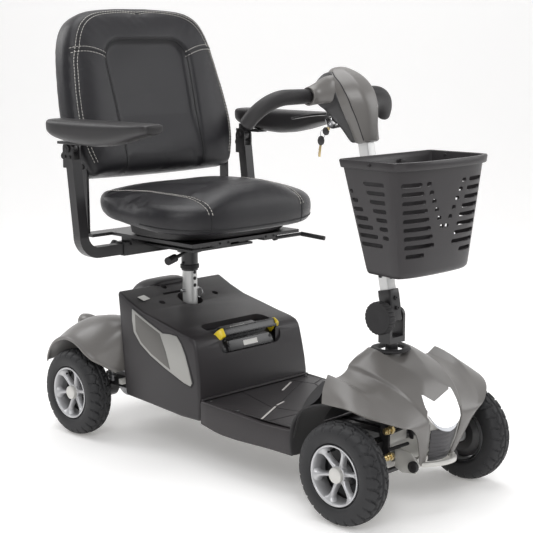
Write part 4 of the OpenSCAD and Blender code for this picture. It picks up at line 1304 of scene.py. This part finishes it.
fit_box(seat, (-231, -6, 498.5), (231, 335, 605.5))
deform(seat, seat_shape)
md = seat.modifiers.new("u", "SUBSURF")
md.levels = md.render_levels = 1
bake(seat)
shade(seat, 75)
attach(seat, "seat")
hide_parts("seat_cushion")
# dark board under the cushion: a real seat base, drawn big enough that it also stands in as painted shade under the
# cushion
k = Kit()
k.loft([[(x, y, z if z < 490 else seat_low_at(y) + 5) for x, y in seat_outline(grow)]
        for grow, z in ((-74, 480.5), (-66, 482), (-60, 486), (-50, 500))])
k.make("seat_board_and_shade", "black_matt", "seat", "vinyl_black", angle=40)

# backrest: thick side bolsters round a recessed centre panel, in the backrest's own frame
k = Kit()
BW = [(0, 196), (8, 207), (30, 217), (60, 227), (95, 233), (130, 234), (175, 231), (215, 226), (260, 219),
        (300, 210), (330, 198), (352, 182),
      (368, 158), (378, 122), (383, 60), (384, 0)]
edge = curve([(w, z, 0) for z, w in BW], 3)
rings = []
right_side = [(p.x, p.y) for p in edge]
full_outline = right_side + [(-x, z) for x, z in right_side[-2::-1]]
full_outline += [(-196 + 392 * i / 14, 0 - 1.5 * math.sin(math.pi * i / 14)) for i in range(1, 14)]
MIDDLE_Z = 180
levels = [(-20, 60), (-8, 62), (-1, 56), (1, 44), (1, 22), (-3, 8), (-12, -1), (-26, -5), (-50, -7), (-90, -7)]
for grow, v in levels:
    ring = []
    for x, z in full_outline:
        d = Vector((x, z - MIDDLE_Z))
        f = (d.length + grow) / d.length
        ring.append(BACK @ Vector((d.x * f, v, MIDDLE_Z + d.y * f)))
    rings.append(ring)
k.loft(rings)
back = remeshed(k, "backrest_cover", 5.0)


def back_local(co):
    """A point of the backrest in the backrest's own leaning frame."""
    return BACK.inverted() @ (co * 1000)


def back_pin(co):
    """Holds the rear of the backrest cover on its board."""
    return 1.0 if back_local(co).y > 50 else 0.0


stuff(back, back_pin, 3.2, 12)


def panel_half(z):
    """Half width of the recessed centre panel."""
    if z > 304:
        return 0.0
    wide = lerp([(0, 114), (120, 117), (256, 122)], z)
    if z > 256:
        return wide - 48 + 48 * math.sqrt(max(0.0, 1 - ((z - 256) / 48) ** 2))
    return wide


def panel_depth(x, z):
    """How far inside the panel's border a point is: less than 0 outside it."""
    wide = lerp([(0, 114), (120, 117), (256, 122)], z)
    a, b = abs(x) - (wide - 48), z - 256
    if a > 0 and b > 0:
        return 48 - math.hypot(a, b)
    return min(wide - abs(x), 304 - z)


def back_shape(p):
    """Presses the centre panel in and lifts the side bolsters."""
    q = BACK.inverted() @ p
    x, v, z = q
    if v < 34:
        d = panel_depth(x, z)
        face = max(0.0, min(1.0, (34 - v) / 22))
        lower = max(0.25, min(1.0, (z - 10) / 120))
        step = 1 / (1 + math.exp(-max(-40, min(40, (d - 3) / 2.4))))
        v += face * lower * 13 * step
        v += face * 1.6 * bell(d, 2.6) * (0.5 + 0.5 * lower)
        bolster = bell(abs(x) - 172, 46) * max(0, min(1, z / 60))
        v -= face * 5 * bolster
        v += face * 3.5 * bell(x, 120) * bell(z - 140, 120)
    return BACK @ Vector((x, v, z))


def fit_local(ob, frame_m, lo, hi):
    """Scales a simulated cover back to its real size in a leaning frame."""
    inv = frame_m.inverted()
    pts = [inv @ (v.co * 1000) for v in ob.data.vertices]
    a = [min(c[i] for c in pts) for i in range(3)]
    b = [max(c[i] for c in pts) for i in range(3)]
    for v, c in zip(ob.data.vertices, pts):
        q = Vector([lo[i] + (c[i] - a[i]) / (b[i] - a[i]) * (hi[i] - lo[i]) for i in range(3)])
        v.co = (frame_m @ q) * MM
    ob.data.update()


fit_local(back, BACK, (-234, -9, -1), (234, 61.8, 386))
deform(back, back_shape)
md = back.modifiers.new("u", "SUBSURF")
md.levels = md.render_levels = 1
bake(back)
shade(back, 75)
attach(back, "backrest")
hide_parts("backrest_cushion")

# seams and stitching, laid on the finished covers by casting lines onto them
def tree(ob):
    """A finished cover, ready for lines to be cast onto it."""
    me = ob.data
    return BVHTree.FromPolygons([v.co for v in me.vertices], [p.vertices for p in me.polygons])


TREES = {"seat": tree(seat), "backrest": tree(back)}


def laid(which, start, direction, lift=0.3):
    """Where a line meets a cover, a little above it, and which way the cover faces there."""
    hit = TREES[which].ray_cast(Vector(start) * MM, Vector(direction).normalized())
    if hit[0] is None:
        return None
    n = hit[1] if hit[1].dot(Vector(direction)) < 0 else -hit[1]
    return hit[0] * 1000 + n * lift, n


def stitch(k, points, length=5.2, gap=2.4, r=0.55):
    """Short thread stitches along a laid line of (point, normal)."""
    total = 0.0
    run = [0.0]
    for (a, _), (b, _) in zip(points, points[1:]):
        total += (b - a).length
        run.append(total)
    t = 0.0
    while t + length < total:
        ends = []
        for q in (t, t + length * 0.5, t + length):
            for i in range(len(run) - 1):
                if run[i + 1] >= q:
                    f = (q - run[i]) / max(run[i + 1] - run[i], 1e-6)
                    ends.append(points[i][0].lerp(points[i + 1][0],
                            f) + points[i][1] * (0.5 if q == t + length * 0.5 else 0.05))
                    break
        if len(ends) == 3:
            k.sweep(ends, circle(r, 6))
        t += length + gap


def lay_line(which, starts, direction, lift=0.3):
    """A line laid on a cover, as (point, normal) pairs."""
    out = []
    for p in starts:
        h = laid(which, p, direction, lift)
        if h:
            out.append(h)
    return out


def tube_on(k, line, r):
    """A thin cord of radius r along a laid line, for a seam."""
    if len(line) > 2:
        k.sweep([p for p, _ in line], circle(r, 8))


seams, threads = Kit(), Kit()
bdir = BACK.to_3x3() @ Vector((0, 1, 0))


def back_line(pts, steps=8, lift=0.3):
    """A line of (across, up) points laid on the backrest's front."""
    return lay_line("backrest", [BACK @ Vector((p.x, -120, p.y))
            for p in curve([(x, z, 0) for x, z in pts], steps)], bdir, lift)


border = [(panel_half(z) - 1.0, z) for z in (4, 60, 120, 180, 232, 256, 270, 283, 293, 300)]
border += [(74, 303), (50, 303.5), (20, 303.5), (0, 303.5)]
tube_on(seams, back_line(border + [(-x, z) for x, z in border[-2::-1]], 4, 0.1), 1.3)
for s in (-1, 1):
    diag = [(s * 118, 268), (s * 140, 276), (s * 165, 282), (s * 190, 284), (s * 207, 283)]
    line = back_line(diag, 8, 0.1)
    tube_on(seams, line, 1.1)
    for d in (-5.5, 5.5):
        stitch(threads, back_line([(x, z + d) for x, z in diag], 10))
    rim = [(BWx, z) for z, BWx in BW[2:-1]]
    for ins in (15, 22):
        pts = [(s * (w - ins), z if z < 300 else z - ins * 0.6) for w, z in rim]
        pts += [(0, 384 - ins * 0.9)]
        stitch(threads, back_line(pts, 5))
    tube_on(seams, back_line([(s * (w - 18.5), z if z < 300 else z - 18.5 * 0.6)
            for w, z in rim] + [(0, 384 - 18.5 * 0.9)], 5, 0.05), 0.9)
seams.make("backrest_seams", "seam", "backrest", "vinyl_black", angle=60)
threads.make("backrest_stitching", "thread", "backrest", "vinyl_black", angle=60)

seams, threads = Kit(), Kit()


def seat_line(pts, steps=8, lift=0.3):
    """A line of (x, y) points laid on the seat's top."""
    return lay_line("seat", [Vector((p.x, p.y, 760)) for p in curve([(x, y, 0) for x, y in pts], steps)],
            (0, 0, -1), lift)


for s in (-1, 1):
    down = lay_line("seat", [Vector((s * 134, -60, 504 + 8 * i)) for i in range(10)], (0, 1, 0), 0.1)
    tube_on(seams, down, 1.1)
    arc = [(s * lerp(SEAT_SEAM, y), y) for y in (6, 16, 40, 70, 100, 140, 180, 215, 250, 285, 316)]
    tube_on(seams, seat_line(arc, 5, 0.1), 1.0)
    for d in (-4.5, 4.5):
        stitch(threads, seat_line([(x + s * d, y) for x, y in arc], 5))
hem = []
for i in range(61):
    t = math.radians(188 + 164 * i / 60)
    x, y = oval(260, 200, 2.5, t)
    h = laid("seat", (x * 1.4, 164 + y * 1.4, seat_low_at(164 + y * 0.83) + 9), (-x, -y, 0), 0.2)
    if h:
        hem.append(h)
tube_on(seams, hem, 1.6)
seams.make("seat_seams", "seam", "seat", "vinyl_black", angle=60)
threads.make("seat_stitching", "thread", "seat", "vinyl_black", angle=60)


# ------------------------------------------------------------------ armrests and seat hardware
def arm_frame(s):
    """The frame of an armrest on side s: its origin is under the hinge, and its y axis toes in."""
    return at(s * ARM_X, ARM_Y, 0, (-ARM_TOE * s, "Z"))


for s, tag in ((-1, "right"), (1, "left")):
    A = arm_frame(s)
    k = Kit()
    rings = []
    n = 22
    for i in range(n + 1):
        u = i / n
        y = 28 - 318 * u
        top = 737 - 1.2 * bell(u - 1, 0.03)
        low = lerp([(0, 703), (0.04, 697), (0.15, 690), (0.30, 684), (0.45, 682), (0.6, 686), (0.75, 695),
                (0.9, 708), (1, 715)], u)
        wid = lerp([(0, 27), (0.03, 31), (0.1, 33), (0.5, 32), (0.85, 31), (0.96, 29), (1, 26)], u)
        mid = (top + low) / 2
        hh = (top - low) / 2
        ring = []
        for j in range(26):
            t = 2 * math.pi * j / 26
            x, z = oval(wid, hh, 4.2 if math.sin(t) > 0 else 2.5, t)
            if math.sin(t) < 0:
                x *= 0.97
            ring.append((21 * s + x, y, mid + z))
        rings.append(ring)
    cap0 = [(21 * s + (x - 21 * s) * 0.8, 32, 718 + (z - 718) * 0.75) for x, y, z in rings[0]]
    cap1 = [(21 * s + (x - 21 * s) * 0.8, -292.6, 726 + (z - 726) * 0.75) for x, y, z in rings[-1]]
    k.loft([cap0] + rings + [cap1], m=A)
    k.make("armrest_pad_%s_foam" % tag, "pad", "armrest_" + tag, "pad_black", ["armrest_pad_" + tag], sub=1,
            angle=60)
    k = Kit()
    k.box((-6, -11, ARM_PIVOT_Z), (6, 11, 700), A)
    k.turn([(14, -7.6), (14, 7.6)], (0, 0, ARM_PIVOT_Z), "X", 32, m=A)
    k.rod((-16, 0, ARM_PIVOT_Z), (16, 0, ARM_PIVOT_Z), 5, 20, m=A)
    k.box((8 * s - 14, -60, 682), (8 * s + 14, 22, 688), A)
    k.make("armrest_lug_" + tag, "black", "armrest_" + tag, "pad_black", bevel=0.7)
    k = Kit()
    k.rod(A @ Vector((s * 12.2, 0, ARM_PIVOT_Z)), A @ Vector((s * 16, 0, ARM_PIVOT_Z)), 9, 24, chamfer=0.8)
    k.rod(A @ Vector((-s * 12.2, 0, ARM_PIVOT_Z)), A @ Vector((-s * 15.5, 0, ARM_PIVOT_Z)), 8, 24, chamfer=0.8)
    for y, z in ((-8, 654), (8, 654)):
        k.rod(A @ Vector((s * 12, y, z)), A @ Vector((s * 15, y, z)), 3.4, 14, chamfer=0.5)
    base = A @ Vector((s * 2, 17, 655))
    k.rod(base, base + Vector((0, 5, 0)), 4, 16)
    k.rod(base + Vector((0, 3, 0)), base + Vector((0, 10, 0)), 8.5, 12, chamfer=2.0)
    k.make("armrest_bracket_details_" + tag, "black_matt", "arm_tube_" + tag, "frame_black")
    dress("armrest_tube_" + tag, "black", 1.6, 3, 40)
    # width knob: a lobed hand wheel behind the bar
    k = Kit()
    lo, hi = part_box("width_knob_" + tag)
    c = (lo + hi) / 2 * 1000
    y0, y1 = lo.y * 1000, hi.y * 1000
    rings = []
    for r, y in [(4, y0), (4, y0 + 9), (9, y0 + 11), (14, y1 - 14), (15.5, y1 - 10), (15, y1 - 2), (12, y1),
            (2, y1)]:
        lobed = [(t, r * (1 - (0.10 * (1 + math.cos(5 * t)) if r > 12 else 0))) for t in angles(60)]
        rings.append([(c.x + q * math.cos(t), y, c.z + q * math.sin(t)) for t, q in lobed])
    k.loft(rings)
    k.make("width_knob_%s_grip" % tag, "black_matt", "width_knob_" + tag, "knob_black", ["width_knob_" + tag],
            angle=40)

for node, mat, b in (("seat_rails", "black", 0.8), ("swivel_base", "black", 1.0),
        ("backrest_hinge", "black", 0.8), ("swivel_lever", "black_matt", 0.8),
                     ("slide_lever", "black_matt", 0.6), ("seat_post_upper", "black", 0.8),
                     ("seat_post_lower", "shaft", 0.5)):
    dress(node, mat, b)
k = Kit()
for s in (-1, 1):
    for y in (70, 150, 270):
        k.bolt((s * 68, y, 459 + 21.2), (0, 0, 1), 4.5, 2)
    k.bolt((s * 213, 340, 628), (s, 0, 0), 7.5, 4.5)
    k.bolt((s * 114, 276, 462), (0, -1, 0), 4.2, 3.5)
    k.bolt((s * 114, 288, 451.2), (0, 0, -1), 3.8, 3.0)
    for x in (56, 80):
        k.bolt((s * x, 40, 474), (0, -1, 0), 2.6, 1.6)
k.make("seat_bolts", "black_matt", "seat", "frame_black")
k = Kit()
for s in (-1, 1):
    k.box((s * 68 - 11, 44, 466.2), (s * 68 + 11, 296, 467.6))
k.make("slide_rail_strips", "steel", "seat", "frame_black", bevel=0.3)
k = Kit()
k.rod((-22, POST_Y, 402), (22, POST_Y, 402), 3.2, 14)
k.turn([(20.5, 0), (21.5, 1), (21.5, 9), (20.5, 10)], (0, POST_Y, 388), "Z", 36)
k.make("post_collar", "black_matt", "seat_post", "stem_black", bevel=0.5)
k = Kit()
k.rod((-27, POST_Y, 338), (26, POST_Y, 338), 4, 16, chamfer=0.8)
k.sweep([Vector((29 + 0.5 * math.cos(t), POST_Y + 11 * math.cos(t), 327 + 11 * math.sin(t))) for t in angles(28)],
        circle(1.3, 8), up=(1, 0, 0), closed=True)
k.make("height_pin", "steel", "chassis", "post_silver", angle=60)
k = Kit()
for z in (350, 366, 380):
    k.turn([(4.2, 0), (4.2, 0.5), (3.6, 0.6)], (0, 0, 0), "Z", 18, m=at(0, 215, z, (90, "X")))
k.make("height_holes", "black_matt", "chassis", "post_silver")

# ------------------------------------------------------------------ chassis and running gear
for node, mat, b in (("rear_frame", "black", 1.5), ("front_frame", "black", 0.8), ("axle_beam", "bracket", 0.8),
        ("axle_pins", "zinc", 0.5),
                     ("transaxle", "cast", 1.0), ("drive_motor", "black", 1.5), ("steering_bearings", "steel", 0.3),
                     ("rear_axle_right", "steel", 0.4), ("rear_axle_left", "steel", 0.4),
                     ("knuckle_right", "black_matt", 0.6),
                     ("knuckle_left", "black_matt", 0.6), ("track_rod_right", "steel", 0.4),
                     ("track_rod_left", "steel", 0.4),
                     ("steering_stem", "black", 1.0)):
    dress(node, mat, b)
k = Kit()
k.box((-52, -460, 80), (52, -449, 100))
for s in (-1, 1):
    out = [(-427.5, 124), (-470, 120), (-489, 100), (-480, 81), (-446, 76), (-427.5, 84)]
    k.loft([[(s * x, y, z) for y, z in out] for x in (52, 56)])
k.make("bumper_plates", "bracket", "chassis", "bracket_silver", ["bumper_bracket"], bevel=1.4, seg=3)
k = Kit()
for s in (-1, 1):
    k.turn([(3, 0), (10.6, 0.4), (11.2, 1.6), (11.2, 7.4), (10.4, 8.6), (4.5, 9), (4, 7.6), (0.3, 7.4)],
            (s * 56, -478, 96), "X", 32, out=s)
k.make("bump_rollers", "black_matt", "chassis", "bracket_silver", angle=40)
k = Kit()
for s in (-1, 1):
    for z in (118, 170):
        for r, a, b in ((4.5, 84, 112), (8.2, 88, 95), (7.2, 99, 104), (6.2, 106, 110)):
            k.rod((s * a, -448, z), (s * b, -448, z), r, 6 if r > 8 else 20, chamfer=0.6)
k.make("axle_adjusters", "zinc", "chassis", "zinc_yellow", angle=30)
k = Kit()
for s in (-1, 1):
    k.box((min(s * 84, s * 90), -440, 112), (max(s * 84, s * 90), -420, 182))
    k.rod((s * 30, -440, 128), (s * 92, -440, 128), 3.5, 14)
    k.rod((s * 30, -440, 165), (s * 92, -440, 160), 3.5, 14)
    k.loft([[(s * x, y, z) for y, z in ((-446, 136), (-446, 142), (-426, 206), (-420, 206), (-420, 198),
            (-438, 136))] for x in (20, 24)])
k.make("front_subframe_rails", "black_matt", "chassis", "frame_black", bevel=0.8)
k = Kit()
for s in (-1, 1):
    k.loft([[(s * x, y, z) for x, z in ((30, 134), (82, 134), (82, 158), (70, 164), (30, 164))]
            for y in (-436, -433)])
k.box((-70, -426, 178), (-34, -404, 196))
k.make("front_plates", "bracket", "chassis", "bracket_silver", bevel=1.0)
k = Kit()
k.box((-66, -432, 182), (-40, -412, 192))
k.sweep(curve([(-96, -380, 196), (-88, -400, 192), (-76, -414, 188), (-64, -422, 187)], 6), circle(2.6, 10))
k.make("lamp_lead_plug", "label", "chassis", "liner_black", bevel=0.8)
k = Kit()
k.sweep(curve([(-40, -422, 188), (-20, -440, 186), (10, -456, 190), (24, -470, 200)], 6), circle(2.2, 10))
k.sweep(curve([(40, -405, 196), (70, -420, 180), (96, -440, 160), (92, -446, 140)], 6), circle(2.4, 10))
k.make("lamp_leads", "black_matt", "chassis", "liner_black", angle=60)
k = Kit()
k.rod((96, -452, 160), (108, -452, 160), 5, 16, chamfer=0.8)
k.make("brake_plug", "teal", "chassis", "liner_black")
k = Kit()
for s in (-1, 1):
    coil = [(2 * math.pi * 7 * i / 160, i / 160) for i in range(161)]
    k.sweep([(s * (136 + 9 * math.cos(a)), 352 + 8.1 * math.sin(a), 132 + 66 * t) for a, t in coil], circle(1.9, 8))
    k.rod((s * 136, 352, 126), (s * 136, 352, 204), 4, 14)
k.make("rear_springs", "cast", "chassis", "frame_black", angle=60)
k = Kit()
for profile in ([(40, -30), (42, -28), (42, -22), (39, -20)], [(40, 20), (42, 22), (42, 28), (39, 30)]):
    k.turn(profile, (0, AXLE_Y, WHEEL_R), "X", 48)
k.make("gearbox_flanges", "cast", "chassis", "gearbox", bevel=0.6)

# ------------------------------------------------------------------ studio
# a floor that sweeps up into a wall behind, turned to face the camera
me = bpy.data.meshes.new("floor")
vs, fs = [], []
profile = [(-9.0, 0.0), (3.2, 0.0)]
for i in range(1, 13):
    a = math.radians(90 * i / 12)
    profile.append((3.2 + 1.6 * math.sin(a), 1.6 * (1 - math.cos(a))))
profile.append((4.8, 6.5))
turn = math.radians(-44.4)
fwd = Vector((-math.sin(turn), math.cos(turn), 0))
rgt = Vector((math.cos(turn), math.sin(turn), 0))
for d, z in profile:
    for e in (-9.0, 9.0):
        vs.append(fwd * d + rgt * e + Vector((0, 0, z)))
for i in range(len(profile) - 1):
    fs.append((2 * i, 2 * i + 1, 2 * i + 3, 2 * i + 2))
me.from_pydata(vs, [], fs)
floor = link(bpy.data.objects.new("studio_floor", me))
floor.data.materials.append(M["floor"])
floor.data.shade_smooth()
floor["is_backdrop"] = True

world = bpy.data.worlds.new("studio")
bpy.context.scene.world = world
world.use_nodes = True
world.node_tree.nodes["Background"].inputs["Color"].default_value = (0.97, 0.98, 1.0, 1)
world.node_tree.nodes["Background"].inputs["Strength"].default_value = 0.44


def lamp(name, loc, target, size, power):
    """A soft square light that faces the target."""
    li = bpy.data.lights.new(name, "AREA")
    li.shape = "RECTANGLE"
    li.size = li.size_y = size
    li.energy = power
    ob = link(bpy.data.objects.new(name, li))
    ob.location = loc
    ob.rotation_euler = (Vector(target) - Vector(loc)).to_track_quat("-Z", "Y").to_euler()
    return ob


lamp("key_light", (-2.6, -2.4, 2.9), (0, 0, 0.4), 1.6, 46)
lamp("top_light", (0.1, 0.2, 3.2), (0, 0, 0.3), 2.6, 62)
lamp("fill_light", (2.8, -2.2, 1.8), (0, 0, 0.4), 1.8, 26)
lamp("rim_light", (-1.2, 2.9, 2.2), (0, 0, 0.6), 1.4, 26)

AZ, EL, ROLL = map(math.radians, (-44.427, 9.986, -0.278))
back_dir = Vector((math.sin(AZ) * math.cos(EL), -math.cos(AZ) * math.cos(EL), math.sin(EL)))
right = Vector((math.cos(AZ), math.sin(AZ), 0))
upv = back_dir.cross(right)
r2 = right * math.cos(ROLL) + upv * math.sin(ROLL)
u2 = -right * math.sin(ROLL) + upv * math.cos(ROLL)
cam_data = bpy.data.cameras.new("camera")
cam = link(bpy.data.objects.new("camera", cam_data))
rot = Matrix((r2, u2, back_dir)).transposed().to_4x4()
cam.matrix_world = Matrix.Translation((-1.94527, -2.00309, 0.91084)) @ rot
cam_data.sensor_width = 36
cam_data.lens = 1314.8 / 533 * 36
cam_data.clip_start, cam_data.clip_end = 0.05, 60
bpy.context.scene.camera = cam
bpy.context.scene.view_settings.view_transform = "Standard"

lo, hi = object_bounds()
